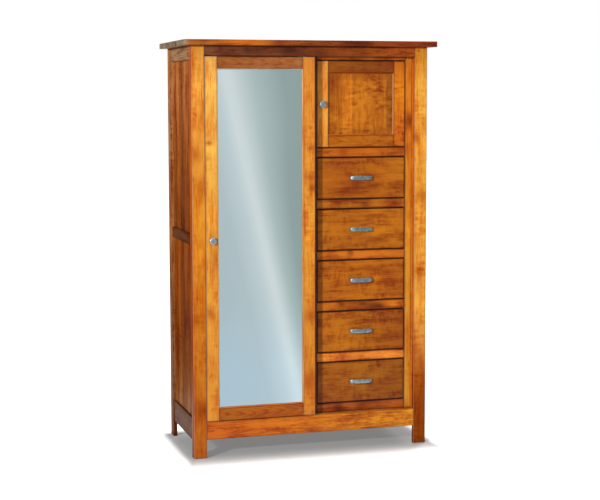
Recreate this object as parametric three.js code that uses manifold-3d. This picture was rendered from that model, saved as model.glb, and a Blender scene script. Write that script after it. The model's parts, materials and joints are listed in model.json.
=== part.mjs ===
// Chifforobe: a hanging bay behind a sliding mirror door, beside a small cupboard over five drawers.
// Millimetres, +Z up. The front faces -Y, and the origin is the middle of the footprint on the floor.

import * as THREE from 'three';
import { mergeVertices } from 'three/addons/utils/BufferGeometryUtils.js';
import Module from 'manifold-3d';

const wasm = await Module();
wasm.setup();

// Whole case
const total_height = 1981;
const case_width = 1172;
const case_depth = 558;
const slab_thickness = 27;
const slab_overhang_front = 37;
const slab_overhang_side = 38;
const slab_overhang_back = 12;
const slab_arris = 3;
const board_arris = 1.5;

// Posts and front rails
const post_width = 63;
const post_depth = 48;
const foot_front_thickness = 22;
const foot_side_thickness = 20;
const back_post_thickness = 20;
const back_post_depth = 64;
const post_arris = 2.5;
const rail_thickness = 20;
const rail_setback = 0.5;
const ledge_height = 175;
const bottom_rail_height = 85;
const top_rail_height = 47;

// Side frames
const side_rail_thickness = 20;
const side_rail_setback = 4;
const side_top_rail_height = 65;
const side_mid_rail_height = 51;
const side_mid_rail_center = 1043;
const side_bottom_rail_height = 105;
const side_bottom_rail_foot = 81;
const side_panel_thickness = 12;
const side_panel_setback = 13;

// Inner boards
const back_thickness = 9;
const back_inset = 3;
const bottom_thickness = 19;
const partition_thickness = 19;
const center_stile_width = 50;
const right_stile_width = 34;
const face_thickness = 20;
const face_setback = 42;
const face_top_rail_height = 64;

// Drawer column
const drawer_count = 5;
const opening_width = 454;
const cupboard_height_share = 84 / 289;
const web_height = 45;
const web_runner_width = 40;
const web_front_depth = 60;
const web_back_depth = 60;
const guide_height = 18;
const guide_clearance = 1;
const cupboard_plate_thickness = 9;

// Drawers
const fit_gap = 3;
const seat_gap = 0.3;
const front_thickness = 20;
const drawer_side_thickness = 12;
const drawer_bottom_thickness = 6;
const drawer_bottom_rise = 12;
const drawer_side_clearance = 27;
const drawer_back_clearance = 14;

// Bow pulls
const pull_length = 118;
const pull_projection = 19.5;
const pull_bar = 5;
const pull_foot = 15;
const pull_height = 21;
const pull_end_height = 18;
const pull_steps = 16;
const pull_bow_power = 2.6;

// Knobs
const knob_radius = 17;
const knob_projection = 19;
const knob_segments = 28;
const knob_profile_shares = [
  [0, 0],
  [0.5, 0],
  [0.46, 0.12],
  [0.38, 0.3],
  [0.5, 0.46],
  [0.86, 0.56],
  [1, 0.7],
  [0.93, 0.83],
  [0.66, 0.94],
  [0.3, 0.99],
  [0, 1],
];

// Mirror door
const door_thickness = 19;
const door_side_gap = 1.5;
const door_top_gap = 3;
const door_foot_gap = 2.5;
const door_lap = 30.5;
const door_stile_width = 63;
const door_top_width = 61;
const door_bottom_width = 65;
const door_lip = 8;
const door_sticking = 4.5;
const door_rebate = 8;
const glass_thickness = 4;
const backboard_thickness = 5.5;
const mirror_knob_inset = 33;

// Door track, hangers and foot guide
const track_depth = 18;
const track_height = 24;
const track_wall = 2;
const track_slot = 7;
const track_front_gap = 1.5;
const track_end_gap = 0.5;
const hanger_width = 42;
const hanger_inset = 34;
const hanger_plate = 2.5;
const hanger_plate_height = 32;
const hanger_plate_drop = 6;
const hanger_blade = 3;
const hanger_head_depth = 11;
const hanger_head_height = 10;
const guide_fin_thickness = 4;
const guide_fin_height = 12;
const guide_fin_side_gap = 2;
const guide_groove_clearance = 1.5;

// Small door
const small_stile_width = 62;
const small_sticking = 7;
const small_panel_setback = 7.5;
const small_panel_thickness = 6.5;
const small_panel_tongue = 8;
const small_panel_flat = 2;
const small_panel_slope = 30;
const small_panel_rise = 3.5;
const small_panel_shoulder = 1;
const small_knob_inset = 26;
const pivot_inset = 8;
const pivot_radius = 3;
const pivot_depth = 9;
const pivot_collar_radius = 5.5;
const pivot_segments = 20;

// Hanging bay
const shelf_thickness = 19;
const hat_space_height = 295;
const shelf_setback = 85;
const cleat_setback = 75;
const cleat_height = 60;
const cleat_lap = 20;
const cleat_thickness = 19;
const rod_radius = 15;
const rod_drop = 34;
const rod_socket_depth = 14;
const rod_segments = 28;

// One overrun serves every cut
const overrun = 5;

// Planes and levels that follow from the sizes above
const slab_depth = case_depth + slab_overhang_front + slab_overhang_back;
const case_top = total_height - slab_thickness;
const case_left = -case_width / 2;
const case_right = case_width / 2;
const case_front = slab_overhang_front - slab_depth / 2;
const case_back = case_front + case_depth;
const inner_left = case_left + post_width;
const inner_right = case_right - post_width;
const posts_front_back = case_front + post_depth;
const posts_back_front = case_back - back_post_depth;
const back_panel_reach = case_width / 2 - back_post_thickness;
const face_front = case_front + face_setback;
const face_back = face_front + face_thickness;
const bay_back = case_back - back_inset - back_thickness;
const column_right = inner_right - right_stile_width;
const column_left = column_right - opening_width;
const partition_left = column_left - partition_thickness;
const center_stile_left = column_left - center_stile_width;
const cupboard_head = case_top - face_top_rail_height;
const clear_height = cupboard_head - ledge_height - (drawer_count + 1) * web_height;
const drawer_opening_height = clear_height * (1 - cupboard_height_share) / drawer_count;
const drawer_side_height = drawer_opening_height - drawer_side_clearance;
const drawer_pitch = drawer_opening_height + web_height;
const cupboard_foot = ledge_height + drawer_count * drawer_pitch + web_height;
const side_panel_inner = case_width / 2 - side_panel_setback - side_panel_thickness;
const shelf_underside = case_top - hat_space_height - shelf_thickness;
const rod_y = (face_back + bay_back) / 2;
const rod_z = shelf_underside - rod_drop;

// Stain and metal colours
const looks = {
  front_wood: { color: 0xc77a2e, roughness: 0.42, metalness: 0 },
  rail_wood: { color: 0x99531f, roughness: 0.42, metalness: 0 },
  drawer_wood: { color: 0xa8601f, roughness: 0.42, metalness: 0 },
  side_wood: { color: 0x87502a, roughness: 0.45, metalness: 0 },
  inner_wood: { color: 0xc9a36f, roughness: 0.6, metalness: 0 },
  pewter: { color: 0x8b97a0, roughness: 0.35, metalness: 1 },
  aluminium: { color: 0xb4b7ba, roughness: 0.4, metalness: 1 },
  steel: { color: 0x7d7f82, roughness: 0.35, metalness: 1 },
  mirror: { color: 0xc3d2d6, roughness: 0.03, metalness: 1 },
};

// A pair of ends in rising order, so left and right pieces share one formula.
function span(a, b) {
  return [Math.min(a, b), Math.max(a, b)];
}

function middle(ends) {
  return (ends[0] + ends[1]) / 2;
}

function size(ends) {
  return ends[1] - ends[0];
}

function widened(ends, by) {
  return [ends[0] - by, ends[1] + by];
}

function mesh(name, geometry, look) {
  const made = new THREE.Mesh(geometry, new THREE.MeshStandardMaterial(looks[look]));
  made.name = name;
  return made;
}

// A rectangle about the origin with its four corners cut by the arris.
function cut_corner_outline(width, depth, arris) {
  const x = width / 2;
  const y = depth / 2;
  return new THREE.Shape([
    new THREE.Vector2(x - arris, -y),
    new THREE.Vector2(x, arris - y),
    new THREE.Vector2(x, y - arris),
    new THREE.Vector2(x - arris, y),
    new THREE.Vector2(arris - x, y),
    new THREE.Vector2(-x, y - arris),
    new THREE.Vector2(-x, arris - y),
    new THREE.Vector2(arris - x, -y),
  ]);
}

// A board about the origin, all twelve edges eased by one small flat.
function eased_geometry(width, depth, height, arris) {
  const geometry = new THREE.ExtrudeGeometry(cut_corner_outline(width, depth, arris), {
    depth: height - 2 * arris,
    bevelEnabled: true,
    bevelThickness: arris,
    bevelSize: arris,
    bevelOffset: -arris,
    bevelSegments: 1,
  });
  geometry.translate(0, 0, arris - height / 2);
  return geometry;
}

// A board that fills the three spans, drawn about its own middle and put in place by its position.
function board(name, look, x, y, z, arris = board_arris) {
  const made = mesh(name, eased_geometry(size(x), size(y), size(z), arris), look);
  made.position.set(middle(x), middle(y), middle(z));
  return made;
}

// The same board as a bare geometry in place, for cutting and joining.
function eased_block(x, y, z, arris = board_arris) {
  const geometry = eased_geometry(size(x), size(y), size(z), arris);
  geometry.translate(middle(x), middle(y), middle(z));
  return geometry;
}

function block(x, y, z) {
  const geometry = new THREE.BoxGeometry(size(x), size(y), size(z));
  geometry.translate(middle(x), middle(y), middle(z));
  return geometry;
}

// A block whose front face reaches further out than its back on every side, or less far below zero.
function tapered_block(x, y, z, reach) {
  const geometry = block(x, y, z);
  const places = geometry.attributes.position;
  for (let index = 0; index < places.count; index += 1) {
    if (places.getY(index) < middle(y)) {
      places.setX(index, places.getX(index) + Math.sign(places.getX(index) - middle(x)) * reach);
      places.setZ(index, places.getZ(index) + Math.sign(places.getZ(index) - middle(z)) * reach);
    }
  }
  return geometry;
}

// The slanted cut round the front edge of a door frame's opening, as deep as it is wide.
function sticking_cut(x, front, z, width) {
  return tapered_block(x, [front - overrun, front + width], z, overrun + width);
}

// A plan outline raised from one level to another.
function raised(outline, z) {
  const geometry = new THREE.ExtrudeGeometry(outline, { depth: size(z), bevelEnabled: false });
  geometry.translate(0, 0, z[0]);
  return geometry;
}

// A section given across the depth and up, carried along the width.
function drawn_along_x(section, x) {
  const geometry = new THREE.ExtrudeGeometry(section, { depth: size(x), bevelEnabled: false });
  const across = new THREE.Vector3(0, 1, 0);
  const up = new THREE.Vector3(0, 0, 1);
  const along = new THREE.Vector3(1, 0, 0);
  geometry.applyMatrix4(new THREE.Matrix4().makeBasis(across, up, along));
  geometry.translate(x[0], 0, 0);
  return geometry;
}

function outline_of(points) {
  return new THREE.Shape(points.map(([x, y]) => new THREE.Vector2(x, y)));
}

function to_solid(geometry) {
  const bare = geometry.clone();
  bare.deleteAttribute('normal');
  bare.deleteAttribute('uv');
  const merged = mergeVertices(bare);
  return new wasm.Manifold(new wasm.Mesh({
    numProp: 3,
    vertProperties: Float32Array.from(merged.attributes.position.array),
    triVerts: Uint32Array.from(merged.index.array),
  }));
}

function to_geometry(solid) {
  const made = solid.getMesh();
  const geometry = new THREE.BufferGeometry();
  geometry.setAttribute('position', new THREE.BufferAttribute(made.vertProperties, made.numProp));
  geometry.setIndex(new THREE.BufferAttribute(made.triVerts, 1));
  const flat = geometry.toNonIndexed();
  flat.computeVertexNormals();
  return flat;
}

function carved(blank, cutters) {
  return to_geometry(cutters.reduce((solid, cutter) => solid.subtract(to_solid(cutter)), to_solid(blank)));
}

function joined(first, second) {
  return to_geometry(to_solid(first).add(to_solid(second)));
}

// A round pin along Z from one level to another.
function upright_pin(radius, x, y, z, segments) {
  const geometry = new THREE.CylinderGeometry(radius, radius, size(z), segments);
  geometry.rotateX(Math.PI / 2);
  geometry.translate(x, y, middle(z));
  return geometry;
}

function level_pin(radius, x, y, z, segments) {
  const geometry = new THREE.CylinderGeometry(radius, radius, size(x), segments);
  geometry.rotateZ(Math.PI / 2);
  geometry.translate(middle(x), y, z);
  return geometry;
}

// A front post. Below the rails its inner corner is cut away, which leaves an L-shaped foot.
function front_post(side, hand, x) {
  const post = eased_block(x, [case_front, posts_front_back], [0, case_top], post_arris);
  const notch_outer = hand * (case_width / 2 - foot_side_thickness);
  const notch_x = span(notch_outer, hand * (case_width / 2 - post_width - overrun));
  const notch_y = [case_front + foot_front_thickness, posts_front_back + overrun];
  const notch = block(notch_x, notch_y, [-overrun, ledge_height - bottom_rail_height]);
  return mesh(`post_front_${side}`, carved(post, [notch]), 'front_wood');
}

// Front posts, and back posts that are thin stiles in the plane of the sides.
function posts() {
  const group = new THREE.Group();
  const back_y = [posts_back_front, case_back];
  const z = [0, case_top];
  group.add(front_post('left', -1, [case_left, inner_left]));
  group.add(front_post('right', 1, [inner_right, case_right]));
  group.add(board('post_back_left', 'front_wood', [case_left, -back_panel_reach], back_y, z, post_arris));
  group.add(board('post_back_right', 'front_wood', [back_panel_reach, case_right], back_y, z, post_arris));
  return group;
}

function top_slab() {
  const reach = case_width / 2 + slab_overhang_side;
  const y = [case_front - slab_overhang_front, case_back + slab_overhang_back];
  return board('top_slab', 'rail_wood', [-reach, reach], y, [case_top, total_height], slab_arris);
}

function front_rails() {
  const group = new THREE.Group();
  const x = [inner_left, inner_right];
  const y = [case_front + rail_setback, case_front + rail_setback + rail_thickness];
  const bottom_z = [ledge_height - bottom_rail_height, ledge_height];
  group.add(board('front_top_rail', 'rail_wood', x, y, [case_top - top_rail_height, case_top]));
  group.add(board('front_bottom_rail', 'front_wood', x, y, bottom_z));
  return group;
}

// One side frame between its two posts: three rails with two flat panels set back between them.
function side_frame(side, hand) {
  const group = new THREE.Group();
  const rail_outer = hand * (case_width / 2 - side_rail_setback);
  const rail_x = span(rail_outer, rail_outer - hand * side_rail_thickness);
  const panel_x = span(hand * (case_width / 2 - side_panel_setback), hand * side_panel_inner);
  const y = [posts_front_back, posts_back_front];
  const bottom = [side_bottom_rail_foot, side_bottom_rail_foot + side_bottom_rail_height];
  const half_mid = side_mid_rail_height / 2;
  const mid = [side_mid_rail_center - half_mid, side_mid_rail_center + half_mid];
  const top = [case_top - side_top_rail_height, case_top];
  group.add(board(`side_${side}_bottom_rail`, 'side_wood', rail_x, y, bottom));
  group.add(board(`side_${side}_mid_rail`, 'side_wood', rail_x, y, mid));
  group.add(board(`side_${side}_top_rail`, 'side_wood', rail_x, y, top));
  group.add(board(`side_${side}_lower_panel`, 'side_wood', panel_x, y, [bottom[1], mid[0]]));
  group.add(board(`side_${side}_upper_panel`, 'side_wood', panel_x, y, [mid[1], top[0]]));
  return group;
}

function back_panel() {
  const y = [bay_back, bay_back + back_thickness];
  const z = [ledge_height - bottom_rail_height, case_top];
  return board('back_panel', 'inner_wood', [-back_panel_reach, back_panel_reach], y, z);
}

// The floor of the case, notched round the front posts. Its front strip is the ledge under the door.
function bottom_board() {
  const reach = case_width / 2 - side_rail_setback - side_rail_thickness;
  const front = case_front + rail_setback + rail_thickness;
  const outline = outline_of([
    [inner_left, front],
    [inner_right, front],
    [inner_right, posts_front_back],
    [reach, posts_front_back],
    [reach, bay_back],
    [-reach, bay_back],
    [-reach, posts_front_back],
    [inner_left, posts_front_back],
  ]);
  const z = [ledge_height - bottom_thickness, ledge_height];
  return mesh('bottom_board', raised(outline, z), 'front_wood');
}

// The upright wall between the two bays, with the wide centre stile on its front edge.
function center_partition() {
  const outline = outline_of([
    [center_stile_left, face_front],
    [column_left, face_front],
    [column_left, bay_back],
    [partition_left, bay_back],
    [partition_left, face_back],
    [center_stile_left, face_back],
  ]);
  return mesh('center_partition', raised(outline, [ledge_height, case_top]), 'front_wood');
}

function face_stile_right() {
  const z = [ledge_height, case_top];
  return board('face_stile_right', 'front_wood', [column_right, inner_right], [face_front, face_back], z);
}

// Where the small door turns: near its right edge, inside its thickness.
const pivot_x = column_right - fit_gap - pivot_inset;
const pivot_y = face_front + pivot_inset;

function pivot_hole(z) {
  return upright_pin(pivot_radius + seat_gap, pivot_x, pivot_y, z, pivot_segments);
}

function face_top_rail() {
  const rail = eased_block([column_left, column_right], [face_front, face_back], [cupboard_head, case_top]);
  const hole = pivot_hole([cupboard_head - overrun, cupboard_head + pivot_depth + seat_gap]);
  return mesh('face_top_rail', carved(rail, [hole]), 'rail_wood');
}

// Plan of a frame under a drawer: it clears the right stile and fills the column back to the panel.
function web_outline() {
  return [
    [column_left, face_front],
    [column_right, face_front],
    [column_right, face_back],
    [inner_right, face_back],
    [inner_right, bay_back],
    [column_left, bay_back],
  ];
}

function web_opening(z) {
  const x = [column_left + web_runner_width, column_right - web_runner_width];
  return block(x, [face_front + web_front_depth, bay_back - web_back_depth], z);
}

// A frame of front rail, two runners and back rail, with a strip that guides the drawer's right side.
function web_frame(number, foot) {
  const z = [foot, foot + web_height];
  const ring = carved(raised(outline_of(web_outline()), z), [web_opening(widened(z, overrun))]);
  const guide_x = [column_right + guide_clearance, inner_right];
  const guide = block(guide_x, [face_back, bay_back], [foot, z[1] + guide_height]);
  return mesh(`web_frame_${number}`, joined(ring, guide), 'rail_wood');
}

function web_frames() {
  const group = new THREE.Group();
  for (let number = 1; number <= drawer_count; number += 1) {
    group.add(web_frame(number, ledge_height + (drawer_count - number) * drawer_pitch));
  }
  return group;
}

// The cupboard's floor: a web frame with a thin plate across its top, and the lower pivot's hole.
function cupboard_floor() {
  const z = [cupboard_foot - web_height, cupboard_foot];
  const pocket = web_opening([z[0] - overrun, z[1] - cupboard_plate_thickness]);
  const hole = pivot_hole([cupboard_foot - pivot_depth - seat_gap, cupboard_foot + overrun]);
  return mesh('cupboard_floor', carved(raised(outline_of(web_outline()), z), [pocket, hole]), 'rail_wood');
}

function shelf_cleat(side, x, socket_x) {
  const z = [shelf_underside - cleat_height, shelf_underside];
  const blank = eased_block(x, [case_front + cleat_setback, posts_back_front], z);
  const socket = level_pin(rod_radius + seat_gap, socket_x, rod_y, rod_z, rod_segments);
  return mesh(`shelf_cleat_${side}`, carved(blank, [socket]), 'inner_wood');
}

// Hat shelf on two cleats, with the clothes rod held in a round socket in each cleat.
function hanging_fittings() {
  const group = new THREE.Group();
  const left_face = inner_left + cleat_lap;
  const right_face = partition_left - cleat_thickness;
  const left_socket = left_face - rod_socket_depth;
  const right_socket = right_face + rod_socket_depth;
  group.add(shelf_cleat('left', [-side_panel_inner, left_face], [left_socket, left_face + overrun]));
  group.add(shelf_cleat('right', [right_face, partition_left], [right_face - overrun, right_socket]));
  const shelf_y = [case_front + shelf_setback, bay_back];
  const shelf_z = [shelf_underside, shelf_underside + shelf_thickness];
  group.add(board('hat_shelf', 'inner_wood', [inner_left, partition_left], shelf_y, shelf_z));
  const rod_x = [left_socket + seat_gap, right_socket - seat_gap];
  group.add(mesh('hanging_rod', level_pin(rod_radius, rod_x, rod_y, rod_z, rod_segments), 'inner_wood'));
  return group;
}

// Track behind the front top rail: a channel that opens down through a slot between two lips.
const track_front = case_front + rail_setback + rail_thickness + track_front_gap;
const track_middle = track_front + track_depth / 2;
const track_lip_top = case_top - track_height + track_wall;

function door_track() {
  const half = track_depth / 2;
  const hollow = half - track_wall;
  const slot = track_slot / 2;
  const foot = case_top - track_height;
  const section = outline_of([
    [track_middle - half, foot],
    [track_middle - slot, foot],
    [track_middle - slot, track_lip_top],
    [track_middle - hollow, track_lip_top],
    [track_middle - hollow, case_top - track_wall],
    [track_middle + hollow, case_top - track_wall],
    [track_middle + hollow, track_lip_top],
    [track_middle + slot, track_lip_top],
    [track_middle + slot, foot],
    [track_middle + half, foot],
    [track_middle + half, case_top],
    [track_middle - half, case_top],
  ]);
  const x = [inner_left + track_end_gap, inner_right - track_end_gap];
  return mesh('door_track', drawn_along_x(section, x), 'aluminium');
}

// The mirror door's outer faces in the case, closed over the hanging bay.
const door_x = [inner_left + door_side_gap, center_stile_left + door_lap];
const door_y = [case_front + rail_setback, case_front + rail_setback + door_thickness];
const door_z = [ledge_height + door_foot_gap, case_top - top_rail_height - door_top_gap];

// The opening in the door's frame that the mirror shows through.
const sight_x = widened(door_x, -door_stile_width);
const sight_z = [door_z[0] + door_bottom_width, door_z[1] - door_top_width];

// A fin on the bottom rail that stands in the groove along the door's lower edge.
const fin_y = [middle(door_y) - guide_fin_thickness / 2, middle(door_y) + guide_fin_thickness / 2];

function door_guide() {
  const x = [center_stile_left + guide_fin_side_gap, door_x[1] - guide_fin_side_gap];
  return mesh('door_guide', block(x, fin_y, [ledge_height, ledge_height + guide_fin_height]), 'steel');
}

function mirror_door_frame() {
  const opening = block(sight_x, widened(door_y, overrun), sight_z);
  const rebate_y = [door_y[0] + door_lip, door_y[1] + overrun];
  const rebate = block(widened(sight_x, door_rebate), rebate_y, widened(sight_z, door_rebate));
  const groove_top = ledge_height + guide_fin_height + guide_groove_clearance;
  const groove_y = widened(fin_y, guide_groove_clearance);
  const groove = block(widened(door_x, overrun), groove_y, [door_z[0] - overrun, groove_top]);
  const sticking = sticking_cut(sight_x, door_y[0], sight_z, door_sticking);
  const frame = carved(eased_block(door_x, door_y, door_z), [opening, rebate, groove, sticking]);
  return mesh('mirror_door_frame', frame, 'front_wood');
}

// Glass and backing board lie in the rebate, each a seat gap from what holds it.
function mirror_layers() {
  const group = new THREE.Group();
  const reach = door_rebate - seat_gap;
  const x = widened(sight_x, reach);
  const z = widened(sight_z, reach);
  const glass_front = door_y[0] + door_lip + seat_gap;
  const glass_back = glass_front + glass_thickness;
  const backing_front = glass_back + seat_gap;
  const backing_y = [backing_front, backing_front + backboard_thickness];
  group.add(mesh('mirror_glass', block(x, [glass_front, glass_back], z), 'mirror'));
  group.add(mesh('mirror_backboard', block(x, backing_y, z), 'inner_wood'));
  return group;
}

// A mushroom knob whose foot is at the given point and whose head faces the front.
function knob(name, x, y, z) {
  const points = knob_profile_shares.map(
    ([out, up]) => new THREE.Vector2(out * knob_radius, up * knob_projection),
  );
  const made = mesh(name, new THREE.LatheGeometry(points, knob_segments), 'pewter');
  made.rotation.x = Math.PI;
  made.position.set(x, y, z);
  return made;
}

// A bent bracket on the door's back whose blade rises through the slot to a head on the track's lips.
function door_hanger(side, x) {
  const plate_front = door_y[1];
  const plate_back = plate_front + hanger_plate;
  const arm_top = door_z[1] - hanger_plate_drop;
  const arm_foot = arm_top - hanger_plate;
  const blade = hanger_blade / 2;
  const head = hanger_head_depth / 2;
  const head_foot = track_lip_top + seat_gap;
  const section = outline_of([
    [plate_front, arm_top - hanger_plate_height],
    [plate_back, arm_top - hanger_plate_height],
    [plate_back, arm_foot],
    [track_middle + blade, arm_foot],
    [track_middle + blade, head_foot],
    [track_middle + head, head_foot],
    [track_middle + head, head_foot + hanger_head_height],
    [track_middle - head, head_foot + hanger_head_height],
    [track_middle - head, head_foot],
    [track_middle - blade, head_foot],
    [track_middle - blade, arm_top],
    [plate_front, arm_top],
  ]);
  return mesh(`door_hanger_${side}`, drawn_along_x(section, x), 'steel');
}

function mirror_door() {
  const group = new THREE.Group();
  const left = door_x[0] + hanger_inset;
  const right = door_x[1] - hanger_inset;
  group.add(mirror_door_frame());
  group.add(mirror_layers());
  group.add(knob('mirror_door_knob', door_x[0] + mirror_knob_inset, door_y[0], middle(door_z)));
  group.add(door_hanger('left', [left, left + hanger_width]));
  group.add(door_hanger('right', [right - hanger_width, right]));
  return group;
}

// The small door's outer faces, flush in its opening with the fit gap all round.
const small_x = [column_left + fit_gap, column_right - fit_gap];
const small_y = [face_front, face_front + door_thickness];
const small_z = [cupboard_foot + fit_gap, cupboard_head - fit_gap];

const small_sight_x = widened(small_x, -small_stile_width);
const small_sight_z = widened(small_z, -small_stile_width);
const small_groove_x = widened(small_sight_x, small_panel_tongue);
const small_groove_z = widened(small_sight_z, small_panel_tongue);
const small_tongue_front = small_y[0] + small_panel_setback;
const small_tongue_y = [small_tongue_front, small_tongue_front + small_panel_thickness];

function small_door_frame() {
  const opening = block(small_sight_x, widened(small_y, overrun), small_sight_z);
  const groove = block(small_groove_x, widened(small_tongue_y, seat_gap), small_groove_z);
  const sticking = sticking_cut(small_sight_x, small_y[0], small_sight_z, small_sticking);
  const low_hole = pivot_hole([small_z[0] - overrun, small_z[0] + pivot_depth + seat_gap]);
  const high_hole = pivot_hole([small_z[1] - pivot_depth - seat_gap, small_z[1] + overrun]);
  const cuts = [opening, groove, sticking, low_hole, high_hole];
  return mesh('small_door_frame', carved(eased_block(small_x, small_y, small_z), cuts), 'front_wood');
}

// A raised panel: a flat tongue in the frame's groove, four slopes, and a field up one shoulder.
function small_door_panel() {
  const tongue_x = widened(small_groove_x, -seat_gap);
  const tongue_z = widened(small_groove_z, -seat_gap);
  const slope_x = widened(small_sight_x, -small_panel_flat);
  const slope_z = widened(small_sight_z, -small_panel_flat);
  const slope_y = [small_tongue_front - small_panel_rise, small_tongue_front];
  const field_x = widened(slope_x, -small_panel_slope);
  const field_z = widened(slope_z, -small_panel_slope);
  const field_y = [slope_y[0] - small_panel_shoulder, small_tongue_front];
  const slopes = tapered_block(slope_x, slope_y, slope_z, -small_panel_slope);
  const raised_part = joined(slopes, block(field_x, field_y, field_z));
  const panel = joined(block(tongue_x, small_tongue_y, tongue_z), raised_part);
  return mesh('small_door_panel', panel, 'drawer_wood');
}

function small_door() {
  const group = new THREE.Group();
  group.add(small_door_frame(), small_door_panel());
  group.add(knob('small_door_knob', small_x[0] + small_knob_inset, small_y[0], middle(small_z)));
  return group;
}

// A pin with a thin collar in the gap between the door and the rail that holds it.
function small_door_pivot(place, gap_foot) {
  const gap = [gap_foot, gap_foot + fit_gap];
  const pin = upright_pin(pivot_radius, 0, 0, widened(gap, pivot_depth), pivot_segments);
  const ring = upright_pin(pivot_collar_radius, 0, 0, widened(gap, -seat_gap), pivot_segments);
  const made = mesh(`small_door_pivot_${place}`, joined(pin, ring), 'steel');
  made.position.set(pivot_x, pivot_y, 0);
  return made;
}

// Points of a bow between two feet, which is squarer than half an ellipse.
function bow(half_length, depth, steps) {
  const points = [];
  for (let step = 0; step <= steps; step += 1) {
    const turn = (Math.PI * step) / steps;
    const across = Math.sign(Math.cos(turn)) * Math.abs(Math.cos(turn)) ** (2 / pull_bow_power);
    const out = Math.abs(Math.sin(turn)) ** (2 / pull_bow_power);
    points.push([across * half_length, step === steps ? 0 : -out * depth]);
  }
  return points;
}

// Seen from above, the bar bows out from two feet; seen from the front, it narrows towards its ends.
function pull_geometry() {
  const outer = bow(pull_length / 2, pull_projection, pull_steps);
  const inner = bow(pull_length / 2 - pull_foot, pull_projection - pull_bar, pull_steps);
  const plan = raised(outline_of([...inner.reverse(), ...outer]), [-pull_height / 2, pull_height / 2]);
  const reach = pull_length / 2;
  const middle_half = pull_height / 2;
  const end_half = pull_end_height / 2;
  const profile = [];
  for (let step = 0; step <= pull_steps; step += 1) {
    const across = (2 * step) / pull_steps - 1;
    profile.push([across * reach, middle_half - (middle_half - end_half) * across * across]);
  }
  const lower = profile.map(([x, half]) => [x, -half]).reverse();
  const elevation = new THREE.ExtrudeGeometry(outline_of([...lower, ...profile].reverse()), {
    depth: pull_projection + 2 * overrun,
    bevelEnabled: false,
  });
  elevation.rotateX(Math.PI / 2);
  elevation.translate(0, overrun, 0);
  return to_geometry(to_solid(plan).intersect(to_solid(elevation)));
}

// Open box behind the drawer front: four walls, and a thin bottom set up from the running edges.
function drawer_box_geometry() {
  const x = [fit_gap, opening_width - fit_gap];
  const y = [front_thickness, bay_back - face_front - drawer_back_clearance];
  const z = [seat_gap, seat_gap + drawer_side_height];
  const inner_x = widened(x, -drawer_side_thickness);
  const inner_y = widened(y, -drawer_side_thickness);
  const bottom_z = [drawer_bottom_rise, drawer_bottom_rise + drawer_bottom_thickness];
  const cavity = block(inner_x, inner_y, [bottom_z[1], z[1] + overrun]);
  const underside = block(inner_x, inner_y, [z[0] - overrun, bottom_z[0]]);
  return carved(block(x, y, z), [cavity, underside]);
}

// A drawer in its own frame: left, front and lower corner of its opening at the origin.
function drawer(number) {
  const group = new THREE.Group();
  const front_x = [fit_gap, opening_width - fit_gap];
  const front_z = [fit_gap, drawer_opening_height - fit_gap];
  group.add(board(`drawer_${number}_front`, 'drawer_wood', front_x, [0, front_thickness], front_z));
  group.add(mesh(`drawer_${number}_box`, drawer_box_geometry(), 'inner_wood'));
  const pull = mesh(`drawer_${number}_pull`, pull_geometry(), 'pewter');
  pull.position.set(middle(front_x), 0, middle(front_z));
  group.add(pull);
  const foot = ledge_height + web_height + (drawer_count - number) * drawer_pitch;
  group.position.set(column_left, face_front, foot);
  return group;
}

function chifforobe() {
  const group = new THREE.Group();
  group.add(posts(), top_slab(), front_rails());
  group.add(side_frame('left', -1), side_frame('right', 1));
  group.add(back_panel(), bottom_board(), center_partition(), face_stile_right(), face_top_rail());
  group.add(web_frames(), cupboard_floor(), hanging_fittings());
  group.add(door_track(), door_guide(), mirror_door());
  group.add(small_door());
  group.add(small_door_pivot('lower', cupboard_foot), small_door_pivot('upper', cupboard_head - fit_gap));
  for (let number = 1; number <= drawer_count; number += 1) {
    group.add(drawer(number));
  }
  return group;
}

export default chifforobe();
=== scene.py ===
"""A chifforobe: a wardrobe bay behind a sliding mirror door, beside a small cupboard over five drawers.

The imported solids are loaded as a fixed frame. The pieces that show are made again here as boards with
rounded arrises, stained wood, pewter knobs and pulls, and each stands for the solid that it replaces.
"""

import json
import math

import bmesh
import bpy
import numpy as np
from mathutils import Matrix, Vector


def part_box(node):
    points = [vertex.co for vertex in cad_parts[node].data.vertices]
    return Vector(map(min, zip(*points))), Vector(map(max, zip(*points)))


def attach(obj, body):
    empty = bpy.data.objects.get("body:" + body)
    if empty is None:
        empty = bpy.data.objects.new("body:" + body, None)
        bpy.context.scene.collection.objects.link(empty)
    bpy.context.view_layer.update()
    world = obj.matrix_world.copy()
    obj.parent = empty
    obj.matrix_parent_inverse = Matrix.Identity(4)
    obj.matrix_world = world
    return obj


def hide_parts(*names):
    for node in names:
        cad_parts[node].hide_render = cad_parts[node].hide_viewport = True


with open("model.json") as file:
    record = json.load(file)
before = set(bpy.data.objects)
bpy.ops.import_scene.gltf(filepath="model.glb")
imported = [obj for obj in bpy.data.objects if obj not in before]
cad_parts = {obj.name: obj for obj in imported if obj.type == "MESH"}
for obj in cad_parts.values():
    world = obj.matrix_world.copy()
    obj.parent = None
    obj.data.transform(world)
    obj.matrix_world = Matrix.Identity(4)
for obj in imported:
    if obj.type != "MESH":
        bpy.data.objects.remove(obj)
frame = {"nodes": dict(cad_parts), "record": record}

bl_info = {
    "name": "Chifforobe",
    "version": (1, 0, 0),
    "blender": (4, 5, 0),
    "location": "View3D > Sidebar > Chifforobe",
    "description": "Makes the boards, doors, drawers, fittings and studio of a chifforobe",
    "category": "Add Mesh",
}

MM = 0.001
X, Y, Z = 0, 1, 2


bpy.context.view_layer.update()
BODY_OF = {node: body for body, nodes in frame["record"]["behaviour"]["bodies"].items() for node in nodes}

# Screen colours: the full level, and the usual screen curve
FULL_LEVEL = 255.0
CURVE_FOOT, CURVE_SLOPE, CURVE_LIFT, CURVE_POWER = 0.04045, 12.92, 0.055, 2.4


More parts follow.
